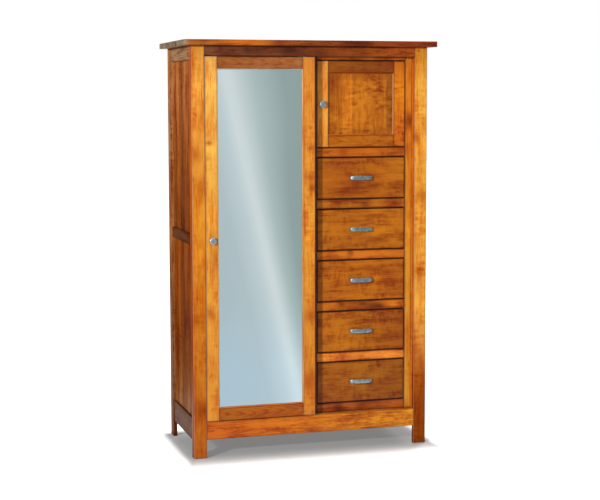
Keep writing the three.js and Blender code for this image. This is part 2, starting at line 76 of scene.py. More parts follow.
def linear(colour):
    """Screen colour from 0 to 255 as linear light, by the usual screen curve."""
    share = np.asarray(colour, float) / FULL_LEVEL
    curved = ((share + CURVE_LIFT) / (1 + CURVE_LIFT)) ** CURVE_POWER
    return np.where(share <= CURVE_FOOT, share / CURVE_SLOPE, curved)


def box_of(node):
    """Lowest and highest corner of a solid, as two arrays."""
    low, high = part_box(node)
    return np.array(low), np.array(high)


BASES = {"front_wood": (236, 164, 66), "rail_wood": (150, 82, 38), "drawer_wood": (180, 98, 34),
         "side_wood": (140, 80, 40), "inner_wood": (204, 166, 114), "pewter": (152, 167, 176),
         "mirror": (178, 202, 216)}


def colour_property(slot, text):
    """A colour that a user may change, with its default from the base colours."""
    return bpy.props.FloatVectorProperty(
        name=slot.replace("_", " ").capitalize(), description=text, subtype="COLOR", size=3, min=0.0, max=1.0,
        default=tuple(linear(BASES[slot])))


def length_property(title, text, millimetres):
    """A length that a user may change."""
    return bpy.props.FloatProperty(name=title, description=text, unit="LENGTH", subtype="DISTANCE", min=0.0,
                                   precision=4, default=millimetres * MM)


class ChifforobeSizes(bpy.types.PropertyGroup):
    """Sizes that a user would change."""
    board_arris: length_property("Board arris", "Radius of the arrises of rails, panels and drawer fronts", 1.5)
    post_arris: length_property("Post arris", "Radius of the arrises of the four posts", 2.5)
    slab_arris: length_property("Top arris", "Radius of the arrises of the top slab", 3.0)
    # How far the edge band reaches that carries rubbed stain, dirt, painted shade and the painted highlight line
    wear_width: length_property("Wear width", "How far the worn and darkened edge reaches", 14)
    door_sticking: length_property("Door sticking", "Width of the bevel round the mirror", 4.5)
    small_sticking: length_property("Small door sticking", "Width of the bevel round the panel", 5)
    small_stile: length_property("Small door stile", "Width of the small door's stiles and rails", 62)


class ChifforobeColours(bpy.types.PropertyGroup):
    """Colours that a user would change."""
    front_wood: colour_property("front_wood", "Amber stain of posts and stiles")
    # Rail wood is darker than the posts' amber: partly its stain, partly painted shade for cross grain, which catches
    # less light
    rail_wood: colour_property("rail_wood", "Red-brown stain of top and rails")
    drawer_wood: colour_property("drawer_wood", "Brown amber stain of drawer fronts and panel")
    side_wood: colour_property("side_wood", "Brown stain of the sides")
    inner_wood: colour_property("inner_wood", "Clear sealed wood of the inside")
    pewter: colour_property("pewter", "Knobs and pulls")
    mirror: colour_property("mirror", "Tint of the silvered glass")


# Board grids: turns of an arris, shares of the edge band of rubbed stain, dirt, painted shade and painted highlight,
# and steps between for plain, banded and spotted boards
ROUND_STEPS = 3
RIM_SHARES = (0.1, 0.22, 0.5)
BAND_LIMIT_SHARE, ARRIS_LIMIT_SHARE = 0.35, 0.3
PLAIN_STEP, BAND_STEP, BAND_LONG_STEP, SPOT_STEP, SPOT_LONG_STEP = 0.05, 0.012, 0.08, 0.01, 0.014
WELD_DIGITS = 7
# Stain: room above the ramp's middle, the light that the sheen adds, and the darkest value
STAIN_HEADROOM, SHEEN, DARKEST = 1.28, 0.014, 0.003
# Figure of a board: strength of curl across the grain, of nested arches, and of the darkening to the edges, which is
# partly glaze and dirt in the joints and partly painted shade of the gaps between parts
PLAIN_FIGURE = (0.0, 0.0, 0.3)
BEVEL_FIGURE, BEVEL_WEAR_AND_LIGHT = (0.0, 0.0, 0.6), 0.5


def grid_lines(low, high, arris, band, step):
    """Places of the grid lines between two faces: arris steps whose tangents are evenly turned, a few lines
    in the edge band of rubbed stain, dirt, painted shade and painted highlight, and even lines between."""
    turns = np.linspace(math.pi / 4, 0.0, ROUND_STEPS + 1)
    near = arris * (1.0 - np.tan(turns))
    band = min(band, BAND_LIMIT_SHARE * (high - low))
    rim = arris + (band - arris) * np.array(RIM_SHARES)
    count = max(2, int(math.ceil((high - low - 2 * band) / step)) + 1)
    inner = np.linspace(low + band, high - band, count)
    return np.concatenate([low + near, low + rim, inner, (high - rim)[::-1], (high - near)[::-1]])


def box_faces(lines):
    """Points and quads of the six sides of a box grid, each side wound so that it faces out."""
    points, quads, start = [], [], 0
    for axis in range(3):
        first, second = lines[(axis + 1) % 3], lines[(axis + 2) % 3]
        for end, place in ((0, lines[axis][0]), (1, lines[axis][-1])):
            u, v = np.meshgrid(first, second, indexing="ij")
            side = np.empty(u.shape + (3,))
            side[..., axis] = place
            side[..., (axis + 1) % 3] = u
            side[..., (axis + 2) % 3] = v
            index = start + np.arange(u.size).reshape(u.shape)
            quad = np.stack([index[:-1, :-1], index[1:, :-1], index[1:, 1:], index[:-1, 1:]], -1).reshape(-1, 4)
            quads.append(quad if end else quad[:, ::-1])
            points.append(side.reshape(-1, 3))
            start += u.size
    return np.concatenate(points), np.concatenate(quads)


def welded(points, quads):
    """The same faces with points at the same place made one."""
    _, first, back = np.unique(np.round(points, WELD_DIGITS), axis=0, return_index=True, return_inverse=True)
    return points[first], back.reshape(-1)[quads]


def stops_at(shares, stops):
    """Colour or factor at each share, straight between the given stops."""
    places = [share for share, _ in stops]
    values = np.array([value for _, value in stops], float)
    if values.ndim == 1:
        return np.interp(shares, places, values)
    return np.stack([np.interp(shares, places, values[:, k]) for k in range(values.shape[1])], -1)


def stain_of(slot, colours):
    """Stain in linear light, moved with the user's colour for this slot."""
    chosen = np.array(getattr(bpy.context.scene.chifforobe_colours, slot))
    return np.maximum(linear(colours) - SHEEN, DARKEST) / linear(BASES[slot]) * chosen * STAIN_HEADROOM


def spotted(stain, first, second, spots):
    """Stain with soft spots. Each multiplies it by 1 + (factor - 1) * exp(-distance squared), where the
    distance is measured in the spot's two reaches."""
    for place, other_place, reach, other_reach, factor in spots:
        far = ((first - place) / reach) ** 2 + ((second - other_place) / other_reach) ** 2
        stain = stain * (1.0 + (np.array(factor) - 1.0) * np.exp(-far)[:, None])
    return stain


class Mould:
    """Gathers the points, faces and wood attributes of one piece."""

    def __init__(self, slot):
        self.slot, self.count = slot, 0
        self.faces, self.normals, self.rows = [], [], []

    def add(self, points, faces, normals, grain, stain, figure, lot, wear):
        """One closed shell with its attributes."""
        amount = len(points)
        self.faces.extend([[corner + self.count for corner in face] for face in faces])
        self.normals.append(normals)
        self.rows.append((points, grain, np.broadcast_to(stain, (amount, 3)),
                          np.broadcast_to(np.array(figure, float), (amount, 3)),
                          np.full(amount, float(lot)), np.broadcast_to(wear, (amount,))))
        self.count += amount

    def board(self, low, high, along, lot, tones, figure=PLAIN_FIGURE, arris=None, across=None, middle=None,
              spots=(), side_shade=None):
        """A board with rounded arrises. Each point of a box grid goes to the core box, which is the board
        less the arris all round, and out again by the arris: core + arris * unit(point - core).
        Tones are stops along the grain, across holds factors across it, and the factor on faces that look to a side
        is a painted shade."""
        sizes = bpy.context.scene.chifforobe_sizes
        low, high = np.array(low, float), np.array(high, float)
        size = high - low
        arris = min(sizes.board_arris if arris is None else arris, ARRIS_LIMIT_SHARE * float(size.min()))
        steps = [PLAIN_STEP] * 3
        if across is not None:
            steps = [BAND_STEP] * 3
            steps[along] = BAND_LONG_STEP
        if spots:
            steps = [SPOT_STEP] * 3
            steps[along] = SPOT_LONG_STEP
        lines = [grid_lines(low[k], high[k], arris, sizes.wear_width, steps[k]) for k in range(3)]
        points, quads = welded(*box_faces(lines))
        core = np.clip(points, low + arris, high - arris)
        away = points - core
        normals = away / np.linalg.norm(away, axis=1)[:, None]
        placed = core + arris * normals
        wide, thin = [k for k in range(3) if k != along]
        if size[wide] < size[thin]:
            wide, thin = thin, wide
        local = placed - ((low + high) / 2 if middle is None else np.array(middle, float))
        near = np.sort(np.minimum(points - low, high - points), axis=1)
        wear = 1.0 - np.clip(near[:, 1] / sizes.wear_width, 0.0, 1.0)
        share = (placed[:, along] - low[along]) / size[along]
        side = (placed[:, wide] - low[wide]) / size[wide]
        stain = stain_of(self.slot, stops_at(share, tones))
        if across is not None:
            stain = stain * stops_at(side, across)[:, None]
        stain = spotted(stain, share, side, spots)
        # Painted shade: faces that look to a side are darkened by the given factor
        if side_shade is not None:
            stain = stain * (1.0 + (np.array(side_shade) - 1.0) * normals[:, X, None] ** 2)
        self.add(placed, quads.tolist(), normals, local[:, [wide, thin, along]], stain, figure, lot, wear)

    def frame_bevel(self, opening, depth_start, profile, lot, colours):
        """A moulding carried round an opening in the front: the profile (inset, depth) is offset towards the
        middle of a rectangle, whose four corners are mitres. The profile is a closed loop. Each side takes its own
        colour, which paints that side's light and shade."""
        (x0, x1), (z0, z1) = opening
        inset, depth = np.array(profile).T
        corners = [(x0, z0, 1, 1), (x1, z0, -1, 1), (x1, z1, -1, -1), (x0, z1, 1, -1)]
        index = np.arange(len(profile))
        after = (index + 1) % len(profile)
        for number in range(4):
            points = np.concatenate([
                np.stack([x + turn_x * inset, depth_start + depth, z + turn_z * inset], -1)
                for x, z, turn_x, turn_z in (corners[number], corners[(number + 1) % 4])])
            faces = np.stack([index, index + len(index), after + len(index), after], -1).tolist()
            faces += [index[::-1].tolist(), (index + len(index)).tolist()]
            grain = (points - points.mean(0))[:, [2, 1, 0] if number % 2 == 0 else [0, 1, 2]]
            self.add(points, faces, None, grain, stain_of(self.slot, colours[number]), BEVEL_FIGURE, lot + number,
                     BEVEL_WEAR_AND_LIGHT)


def oriented(mesh):
    """Turns the faces of a closed mesh outwards."""
    shell = bmesh.new()
    shell.from_mesh(mesh)
    bmesh.ops.recalc_face_normals(shell, faces=shell.faces)
    shell.to_mesh(mesh)
    shell.free()


def write_wood(mesh, grain, stain, figure, lot, wear):
    """The attributes that the wood's looks read, one value for each point."""
    opaque = np.concatenate([stain, np.ones((len(stain), 1))], 1)
    for name, kind, field, values in (
            ("grain", "FLOAT_VECTOR", "vector", grain), ("stain", "FLOAT_COLOR", "color", opaque),
            ("figure", "FLOAT_VECTOR", "vector", figure), ("lot", "FLOAT", "value", lot),
            ("wear", "FLOAT", "value", wear)):
        attribute = mesh.attributes.new(name, kind, "POINT")
        attribute.data.foreach_set(field, np.ascontiguousarray(values, np.float32).reshape(-1))


def smooth(mesh):
    """Smooth shading on every face."""
    mesh.polygons.foreach_set("use_smooth", np.ones(len(mesh.polygons), bool))


def put(name, mould, look, body, *nodes):
    """Makes a piece of a mould, gives it its look, and lets it ride and stand for its solids."""
    mesh = bpy.data.meshes.new(name)
    points, *wood = [np.concatenate(column) for column in zip(*mould.rows)]
    mesh.from_pydata(points.tolist(), [], mould.faces)
    write_wood(mesh, *wood)
    if all(part is not None for part in mould.normals):
        smooth(mesh)
        mesh.normals_split_custom_set_from_vertices(np.concatenate(mould.normals).tolist())
    else:
        oriented(mesh)
    mesh.update()
    placed_piece(name, mesh, look, body, mould.slot, *nodes)


def linked(name, data):
    """An object for the data, linked to the scene."""
    made = bpy.data.objects.new(name, data)
    bpy.context.scene.collection.objects.link(made)
    return made


def placed_piece(name, mesh, look, body, slot, *nodes):
    """Links a mesh as a piece that rides on a body and stands for its solids."""
    piece = linked(name, mesh)
    mesh.materials.append(look_of(look))
    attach(piece, body)
    if nodes:
        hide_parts(*nodes)


def surface_mesh(name, grid, wrap, caps):
    """A mesh from a grid of points: rows along the first parameter, columns along the second. The columns
    may close on themselves, and the first and last rows may be closed by one face each."""
    rows, columns = grid.shape[:2]
    index = np.arange(rows * columns).reshape(rows, columns)
    if wrap:
        index = np.concatenate([index, index[:, :1]], 1)
    quads = np.stack([index[:-1, :-1], index[:-1, 1:], index[1:, 1:], index[1:, :-1]], -1).reshape(-1, 4)
    faces = quads.tolist()
    if caps:
        faces.append(index[0, :columns].tolist())
        faces.append(index[-1, :columns][::-1].tolist())
    mesh = bpy.data.meshes.new(name)
    mesh.from_pydata(grid.reshape(-1, 3).tolist(), [], faces)
    oriented(mesh)
    return mesh


def shade_round(mesh, degrees):
    """Smooth shading, except across edges sharper than the given angle."""
    smooth(mesh)
    mesh.set_sharp_from_angle(angle=math.radians(degrees))
    mesh.update()


class Wire:
    """An output of a node. Added, subtracted or multiplied, it makes the node that does so."""

    def __init__(self, look, socket):
        self.look, self.socket = look, socket

    def combined(self, operation, other):
        """Arithmetic with a number or wire, or by components with a vector."""
        flat = isinstance(other, tuple) or self.socket.type == "VECTOR"
        return self.look.node("VectorMath" if flat else "Math", {0: self, 1: other}, operation=operation)

    def __add__(self, other):
        return self.combined("ADD", other)

    def __sub__(self, other):
        return self.combined("SUBTRACT", other)

    def __mul__(self, other):
        return self.combined("MULTIPLY", other)

    def parts(self):
        """The components of a vector."""
        node = self.look.node("SeparateXYZ", {0: self}).socket.node
        return [Wire(self.look, socket) for socket in node.outputs]


class Look:
    """Short hand for wiring the nodes of one material, or of the world."""

    def __init__(self, name, owners="materials"):
        self.owner = getattr(bpy.data, owners).new(name)
        self.owner.use_nodes = True
        self.tree = self.owner.node_tree
        self.surface = self.tree.nodes.get("Principled BSDF")

    def wire(self, socket, value):
        """Links an output to a socket, or sets the socket's own value."""
        if isinstance(value, Wire):
            self.tree.links.new(value.socket, socket)
        else:
            socket.default_value = value

    def node(self, kind, inputs=(), out=0, **settings):
        """A node with its settings and inputs, and one of its outputs."""
        made = self.tree.nodes.new("ShaderNode" + kind)
        for key, value in settings.items():
            setattr(made, key, value)
        for key, value in dict(inputs).items():
            self.wire(made.inputs[key], value)
        return Wire(self, made.outputs[out])

    def attribute(self, name, out):
        """A value that the mesh carries: as colour, vector or number by the output's place."""
        return self.node("Attribute", out=out, attribute_name=name)

    def own_place(self):
        """The point in the object's own coordinates."""
        return self.node("TexCoord", out=3)

    def math(self, operation, first, second=0.0):
        """One step of arithmetic."""
        return self.node("Math", {0: first, 1: second}, operation=operation)

    def noise(self, vector, scale, detail, roughness=0.55, out=0, distortion=0.0):
        """Soft noise at the given place."""
        return self.node("TexNoise", {"Vector": vector, "Scale": scale, "Detail": detail,
                                      "Roughness": roughness, "Distortion": distortion}, out=out)

    def span(self, value, low, high, to_low=0.0, to_high=1.0, kind="SMOOTHSTEP"):
        """The value carried from one range to another."""
        return self.node("MapRange", {0: value, 1: low, 2: high, 3: to_low, 4: to_high}, interpolation_type=kind)

    def mix(self, factor, first, second, blend="MIX"):
        """Two colours blended by a factor."""
        return self.node("Mix", {0: factor, 6: first, 7: second}, out=2, data_type="RGBA", blend_type=blend)

    def ramp(self, value, stops):
        """Colours along a value, from stops of place and colour."""
        made = self.node("ValToRGB", {0: value})
        band = made.socket.node.color_ramp
        while len(band.elements) < len(stops):
            band.elements.new(0.5)
        for element, (place, colour) in zip(band.elements, stops):
            element.position = place
            element.color = (*colour, 1.0)
        return made

    def seen(self):
        """1 for rays from the camera, off gloss and through glass, and 0 for the rest."""
        path = self.node("LightPath").socket.node.outputs
        rays = [Wire(self, path[f"Is {kind} Ray"]) for kind in ("Camera", "Glossy", "Transmission")]
        return self.math("MAXIMUM", rays[0], self.math("MAXIMUM", rays[1], rays[2]))

    def emit(self, colour, strength, share=None):
        """Puts a glow in place of the surface, clear where the share is 0."""
        glow = self.node("Emission", {0: colour, 1: strength})
        if share is not None:
            glow = self.node("MixShader", {0: share, 1: self.node("BsdfTransparent"), 2: glow})
        self.wire(self.tree.nodes["Material Output"].inputs[0], glow)
        self.tree.nodes.remove(self.surface)

    def set(self, **values):
        """Sets or links the surface's sockets by name, with _ for a space."""
        for key, value in values.items():
            self.wire(self.surface.inputs[key.replace("_", " ")], value)


RAMP_STAINED = ((0.14, (0.36, 0.15, 0.08)), (0.34, (0.58, 0.39, 0.28)), (0.50, (0.77, 0.70, 0.64)),
                (0.64, (0.91, 0.92, 0.92)), (0.84, (1.0, 1.0, 1.0)))
RAMP_AMBER = ((0.14, (0.62, 0.26, 0.12)), (0.34, (0.80, 0.50, 0.32)), (0.50, (0.90, 0.74, 0.62)),
              (0.64, (0.97, 0.93, 0.89)), (0.84, (1.0, 1.0, 1.0)))
RAMP_CLEAR = ((0.1, (0.56, 0.48, 0.40)), (0.4, (0.76, 0.73, 0.69)), (0.6, (0.86, 0.85, 0.83)), (0.9, (1.0, 1.0, 1.0)))

# Noises in the wood: factor on the place along the grain, which draws them out, scale, detail, roughness
BAND, FIBRE = (0.075, 42.0, 5.0, 0.62), (0.04, 300.0, 4.0, 0.75)
BLOTCH, MOTTLE = (0.42, 16.0, 3.0, 0.6), (0.3, 85.0, 4.0, 0.75)
PATCH, WANDER = (0.6, 9.0, 2.0), (0.3, 5.0, 2.0)
CURL_SQUASH, CURL_SCALE, CURL_RANGE = (0.4, 0.4, 1.0), 62.0, (0.4, 0.62, 1.0, 8.0)
LOT_STRIDE, WANDER_REACH, HALF_GREY = (3.17, 1.73, 2.39), (0.03, 0.03, 0.0), (0.5, 0.5, 0.5)
# Nested arches: growth with the square of the width, along the grain and with the bands
ARCH_WIDTH, ARCH_LENGTH, ARCH_BAND = 2300.0, 15.0, 1.6
QUARTER_TURN = math.pi / 2
GRAIN_TURN = {X: (0.0, QUARTER_TURN, 0.0), Y: (QUARTER_TURN, 0.0, 0.0), Z: (0.0, 0.0, 0.0)}
BLACK, WHITE = (0.0, 0.0, 0.0, 1.0), (1.0, 1.0, 1.0, 1.0)
# Edge colours: near-black dirt, which also paints the shade of the gaps between parts; stain rubbed thin at the
# arris; and a painted highlight line along the arris
DIRT_AND_GAP_SHADE, RUBBED, ARRIS_PAINTED_HIGHLIGHT = (0.06, 0.045, 0.04, 1.0), (1.05, 0.92, 0.72, 1.0), (0.5, 0.35, 0.31, 1.0)


def wood_look(name, ramp, bands, blotches, fibres, coat, rough, shine, line, solid=None):
    """Stained wood. Coordinates run across, through and along the grain. Tone is a sum of fibres, bands
    and blotches, each a noise drawn out along the grain, with curl across it and nested arches. A solid
    of the frame has no attributes, so its grain's axis and stain are given."""
    look = Look(name)
    if solid is None:
        own = look.attribute("grain", 1)
        place = own + look.attribute("lot", 2) * LOT_STRIDE
        curled, arched, darkened = look.attribute("figure", 1).parts()
        stain = look.attribute("stain", 0)
    else:
        axis, stain = solid
        place = look.node("Mapping", {"Vector": look.own_place(), "Rotation": GRAIN_TURN[axis]})

    def drawn(base, length, scale, *rest, **more):
        """Noise whose features are 1 / length times as long as they are wide."""
        return look.noise(base * (1.0, 1.0, length), scale, *rest, **more)

    bent = place + (drawn(place, *WANDER, out=1) - HALF_GREY) * WANDER_REACH
    band, fibre, blotch, mottle = (drawn(bent, *kind) for kind in (BAND, FIBRE, BLOTCH, MOTTLE))
    mottles = 0.5 * blotches
    tone = band * bands + (0.5 - 0.5 * (bands + blotches + fibres + mottles))
    tone = tone + mottle * mottles + blotch * blotches + fibre * fibres
    height = fibre * 0.7 + band
    if solid is None:
        curl = look.noise(bent * CURL_SQUASH, CURL_SCALE, 2.0, 0.5, distortion=0.4) - 0.5
        tone = tone + curl * (curled * look.span(drawn(bent, *PATCH), *CURL_RANGE))
        across, _, along = own.parts()
        arch = across * across * ARCH_WIDTH + along * ARCH_LENGTH + band * ARCH_BAND
        lines = look.span(look.math("SINE", arch * (2 * math.pi)), 0.1, 0.98) * arched
        tone, height = tone - lines, height - lines
    colour = look.mix(1.0, look.ramp(tone, ramp), stain, "MULTIPLY")
    if solid is None:
        wear = look.attribute("wear", 2)
        # Towards the edges, a soft darkening and near-black dirt: partly glaze and dirt in the joints, partly painted
        # shade of the gaps and corners
        colour = look.mix(look.span(wear, 0.0, 0.9, 0.0, 0.14) * darkened, colour, BLACK)
        colour = look.mix(look.span(wear, 0.7, 0.85) * darkened, colour, look.mix(1.0, colour, DIRT_AND_GAP_SHADE, "MULTIPLY"))
        rub = look.span(wear, 0.93, 1.0) * look.span(blotch, 0.45, 0.6, 0.0, 0.3)
        colour = look.mix(rub, colour, look.mix(1.0, stain, RUBBED, "MULTIPLY"))
        # Painted highlight: a thin pale line along the arris, only where the edge darkening is weak
        if line:
            highlight_share = look.span(darkened, 0.52, 0.5, 0.0, line)
            colour = look.mix(look.span(wear, 0.8, 0.88) * highlight_share, colour, ARRIS_PAINTED_HIGHLIGHT)
    look.set(Base_Color=colour, Roughness=look.span(fibre, 0.2, 0.8, rough - 0.07, rough + 0.08),
             Coat_Weight=coat, Coat_Roughness=0.2, Specular_IOR_Level=shine,
             Normal=look.node("Bump", {"Strength": 0.32, "Distance": 0.0004, "Height": height}))
    return look.owner


def metal_look(name, colour, rough, stretch, grain_scale, tarnish):
    """Satin metal: a fine noise drawn along one direction for the brushing, a broad one for the tarnish."""
    look = Look(name)
    own = look.own_place()
    brushed = look.noise(own * stretch, grain_scale, 3.0, 0.65)
    dark = tuple(value * tarnish for value in colour)
    shade = look.mix(look.span(look.noise(own, 70.0, 3.0, 0.6), 0.35, 0.68), (*dark, 1.0), (*colour, 1.0))
    look.set(Base_Color=shade, Metallic=1.0, Roughness=look.span(brushed, 0.25, 0.75, rough - 0.08, rough + 0.1),
             Normal=look.node("Bump", {"Strength": 0.22, "Distance": 0.0003, "Height": brushed}))
    return look.owner


def mirror_look(name, colour):
    """Silvered glass: a clean metal with a very slight unevenness."""
    look = Look(name)
    own = look.own_place()
    cloud, haze = look.noise(own, 2.2, 2.0), look.noise(own, 900.0, 2.0)
    shade = look.mix(look.span(cloud, 0.3, 0.7), (*[value * 0.97 for value in colour], 1.0), (*colour, 1.0))
    look.set(Base_Color=shade, Metallic=1.0, Roughness=look.span(haze, 0.3, 0.7, 0.02, 0.045))
    return look.owner


# Ramp, strength of bands, blotches and fibres, coat, roughness, gloss, strength of the painted highlight line at the
# arris
WOODS = {
    "front_wood": (RAMP_AMBER, 0.9, 0.8, 1.1, 0.05, 0.38, 0.15, 0.22),
    "post_wood": (RAMP_AMBER, 0.9, 0.8, 1.1, 0.0, 0.44, 0.02, 0.3),
    "rail_wood": (RAMP_STAINED, 1.5, 1.0, 1.0, 0.05, 0.4, 0.15, 0.0),
    "drawer_wood": (RAMP_STAINED, 0.9, 1.0, 0.8, 0.05, 0.38, 0.15, 0.0),
    "panel_wood": (RAMP_STAINED, 0.7, 0.6, 0.8, 0.05, 0.38, 0.15, 0.0),
    "side_wood": (RAMP_STAINED, 1.7, 0.9, 1.7, 0.0, 0.44, 0.02, 0.0),
    "inner_wood": (RAMP_CLEAR, 1.0, 0.4, 0.5, 0.0, 0.5, 0.15, 0.0),
}
LEDGE_WOOD, LEDGE_STAIN = (RAMP_STAINED, 1.2, 0.7, 0.6, 0.05, 0.4, 0.15, 0.0), (170, 106, 54)
# Colour, roughness, stretch and scale of the brushing, tarnish
METALS = {
    "aluminium": ((0.55, 0.57, 0.58), 0.36, (0.02, 1.0, 1.0), 900.0, 0.8),
    "steel": ((0.4, 0.41, 0.42), 0.4, (1.0, 1.0, 0.1), 700.0, 0.75),
    "dark_steel": ((0.05, 0.045, 0.04), 0.5, (1.0, 1.0, 0.1), 700.0, 0.75),
}
# Share of the user's pewter, roughness, stretch and scale of the brushing, tarnish
PEWTERS = {"pewter": (1.0, 0.42, (1.0, 1.0, 1.0), 320.0, 0.55),
           "pewter_pull": (0.76, 0.44, (1.0, 1.0, 1.0), 320.0, 0.6)}
LOOKS = {}


def make_looks():
    """Every finish of the piece, by name."""
    chosen = bpy.context.scene.chifforobe_colours
    for name, row in WOODS.items():
        LOOKS[name] = wood_look(name, *row)
    inner, ledge = [(*[value * STAIN_HEADROOM for value in colour], 1.0)
                    for colour in (chosen.inner_wood, linear(LEDGE_STAIN))]
    for axis, letter in enumerate("xyz"):
        LOOKS["inner_" + letter] = wood_look("inner_wood_" + letter, *WOODS["inner_wood"], solid=(axis, inner))
    LOOKS["ledge"] = wood_look("ledge_wood", *LEDGE_WOOD, solid=(X, ledge))
    for name, (share, *row) in PEWTERS.items():
        LOOKS[name] = metal_look(name, tuple(share * value for value in chosen.pewter), *row)
    for name, row in METALS.items():
        LOOKS[name] = metal_look(name, *row)
    LOOKS["mirror"] = mirror_look("mirror", tuple(chosen.mirror))


def look_of(name):
    """A finish by name. The first call makes them all."""
    if not LOOKS:
        make_looks()
    return LOOKS[name]


def dress(look, *nodes):
    """Gives solids that stay as they are their material."""
    for node in nodes:
        mesh = frame["nodes"][node].data
        mesh.materials.clear()
        mesh.materials.append(look_of(look))


# Soft spots of a board: share along, share across, their reach in the same shares, and factor
RED, DARK, GOLD = (0.72, 0.5, 0.38), (0.6, 0.44, 0.36), (1.16, 1.22, 1.2)
INK, GLOW = (0.38, 0.28, 0.26), (1.5, 1.6, 1.5)
SPOTS = {
    "post_front_left": ((0.74, 0.3, 0.02, 0.5, RED), (0.66, 0.8, 0.03, 0.5, RED), (0.9, 0.4, 0.02, 0.6, GOLD),
                        (0.5, 0.6, 0.02, 0.5, GOLD), (0.34, 0.2, 0.02, 0.5, RED), (0.12, 0.7, 0.02, 0.5, DARK)),
    "post_front_right": ((0.775, 0.1, 0.014, 0.3, (0.55, 0.36, 0.25)), (0.63, 0.6, 0.02, 0.6, RED),
                         (0.44, 0.5, 0.02, 0.5, RED), (0.76, 0.7, 0.02, 0.5, GOLD), (0.36, 0.4, 0.015, 0.5, GOLD)),
    "top_slab": ((0.2, 0.0, 0.06, 0.1, (1.2, 1.15, 1.0)), (0.36, 0.0, 0.03, 0.1, DARK),
                 (0.55, 0.0, 0.05, 0.1, GOLD), (0.68, 0.0, 0.03, 0.1, DARK), (0.85, 0.0, 0.04, 0.1, GOLD)),
    "door_stile_left": ((0.768, 0.3, 0.0045, 0.26, (0.45, 0.16, 0.06)), (0.75, 0.5, 0.012, 0.6, GOLD),
                        (0.57, 0.4, 0.02, 0.5, GOLD), (0.45, 0.8, 0.03, 0.4, RED), (0.3, 0.3, 0.02, 0.4, RED),
                        (0.92, 0.5, 0.02, 0.6, GOLD)),
    "door_stile_right": ((0.75, 0.6, 0.008, 0.3, DARK), (0.67, 0.5, 0.014, 0.7, RED), (0.64, 0.8, 0.01, 0.4, DARK),
                         (0.5, 0.3, 0.02, 0.5, GOLD), (0.28, 0.5, 0.02, 0.5, RED), (0.1, 0.5, 0.03, 0.6, RED)),
    "front_top_rail": ((0.08, 0.3, 0.04, 0.3, (1.3, 1.2, 1.1)), (0.2, 0.6, 0.03, 0.3, INK),
                       (0.3, 0.3, 0.03, 0.3, (1.25, 1.1, 1.0)), (0.4, 0.6, 0.05, 0.3, INK),
                       (0.53, 0.4, 0.05, 0.3, DARK), (0.62, 0.7, 0.03, 0.3, (1.3, 1.3, 1.1)),
                       (0.75, 0.3, 0.04, 0.3, RED), (0.9, 0.6, 0.05, 0.4, (1.2, 1.3, 1.1))),
    "face_stile_right": ((0.8, 0.6, 0.022, 0.8, (0.4, 0.24, 0.18)), (0.72, 0.3, 0.02, 0.6, RED),
                         (0.5, 0.5, 0.03, 0.6, GOLD)),
    "cupboard_floor": ((0.3, 0.5, 0.05, 0.6, RED), (0.62, 0.5, 0.08, 0.6, GOLD)),
    "web_frame_1": ((0.2, 0.6, 0.06, 0.6, RED), (0.55, 0.4, 0.06, 0.5, DARK), (0.85, 0.5, 0.1, 0.7, RED)),
    "web_frame_2": ((0.15, 0.4, 0.06, 0.6, RED), (0.38, 0.8, 0.03, 0.5, INK), (0.7, 0.5, 0.1, 0.7, GOLD)),
    "web_frame_3": ((0.28, 0.7, 0.04, 0.4, INK), (0.4, 0.4, 0.12, 0.35, DARK), (0.52, 0.65, 0.06, 0.3, INK),
                    (0.64, 0.45, 0.09, 0.4, INK), (0.72, 0.3, 0.05, 0.3, DARK), (0.88, 0.5, 0.09, 0.8, GLOW)),
    "web_frame_4": ((0.3, 0.5, 0.06, 0.6, RED), (0.8, 0.5, 0.1, 0.7, GOLD)),
    "web_frame_5": ((0.25, 0.5, 0.05, 0.6, INK), (0.5, 0.4, 0.06, 0.6, DARK), (0.85, 0.5, 0.06, 0.7, GOLD)),
}


def simple_board(node, slot, along, lot, tones, figure=PLAIN_FIGURE, arris=None, across=None):
    """A board in the place of one solid."""
    mould = Mould(slot)
    mould.board(*box_of(node), along, lot, tones, figure, arris, across, spots=SPOTS.get(node, ()))
    put(node + "_wood", mould, slot, BODY_OF[node], node)


# Front posts: thickness of the face board and of the side stile, their tones, and the painted shade factor on faces
# that look to a side
POST_FACE, POST_SIDE = 22 * MM, 20 * MM
POST_TONES = {
    "left": ((0, (158, 95, 46)), (0.2, (172, 107, 44)), (0.58, (193, 131, 50)), (0.9, (199, 146, 70)),
             (1, (189, 131, 59))),
    "right": ((0, (128, 70, 35)), (0.1, (134, 72, 36)), (0.17, (151, 82, 37)), (0.25, (193, 127, 62)),
              (0.33, (211, 149, 68)), (0.6, (217, 156, 66)), (0.9, (219, 164, 72)), (1, (195, 134, 52))),
    "side": ((0, (130, 88, 58)), (0.15, (138, 88, 55)), (0.3, (146, 76, 30)), (0.55, (168, 90, 33)),
             (0.75, (176, 96, 33)), (1, (186, 108, 42))),
    "filling": ((0, (190, 118, 42)), (0.5, (190, 124, 42)), (1, (180, 106, 38))),
}
POST_SIDE_SHADE = (0.58, 0.38, 0.42)


def front_post(hand, lot, curl):
    """A front post of three boards: the one that shows in front, the stile of the side behind its outer end,
    and the filling beside the stile, which stops over the foot."""
    node = "post_front_" + hand
    low, high = box_of(node)
    arris = bpy.context.scene.chifforobe_sizes.post_arris
    split, foot = low[Y] + POST_FACE, box_of("front_bottom_rail")[0][Z]
    outer = (low[X], low[X] + POST_SIDE) if hand == "left" else (high[X] - POST_SIDE, high[X])
    inner = (outer[1], high[X]) if hand == "left" else (low[X], outer[0])
    mould = Mould("front_wood")
    mould.board(low, (high[X], split, high[Z]), Z, lot, POST_TONES[hand], (curl, 0, 0.3), arris,
                spots=SPOTS[node], side_shade=POST_SIDE_SHADE)
    for step, kind, ends, start in ((0.3, "side", outer, low[Z]), (0.6, "filling", inner, foot)):
        mould.board((ends[0], split, start), (ends[1], high[Y], high[Z]), Z, lot + step, POST_TONES[kind],
                    (curl, 0, 0.55))
    put(node + "_wood", mould, "post_wood", "case", node)


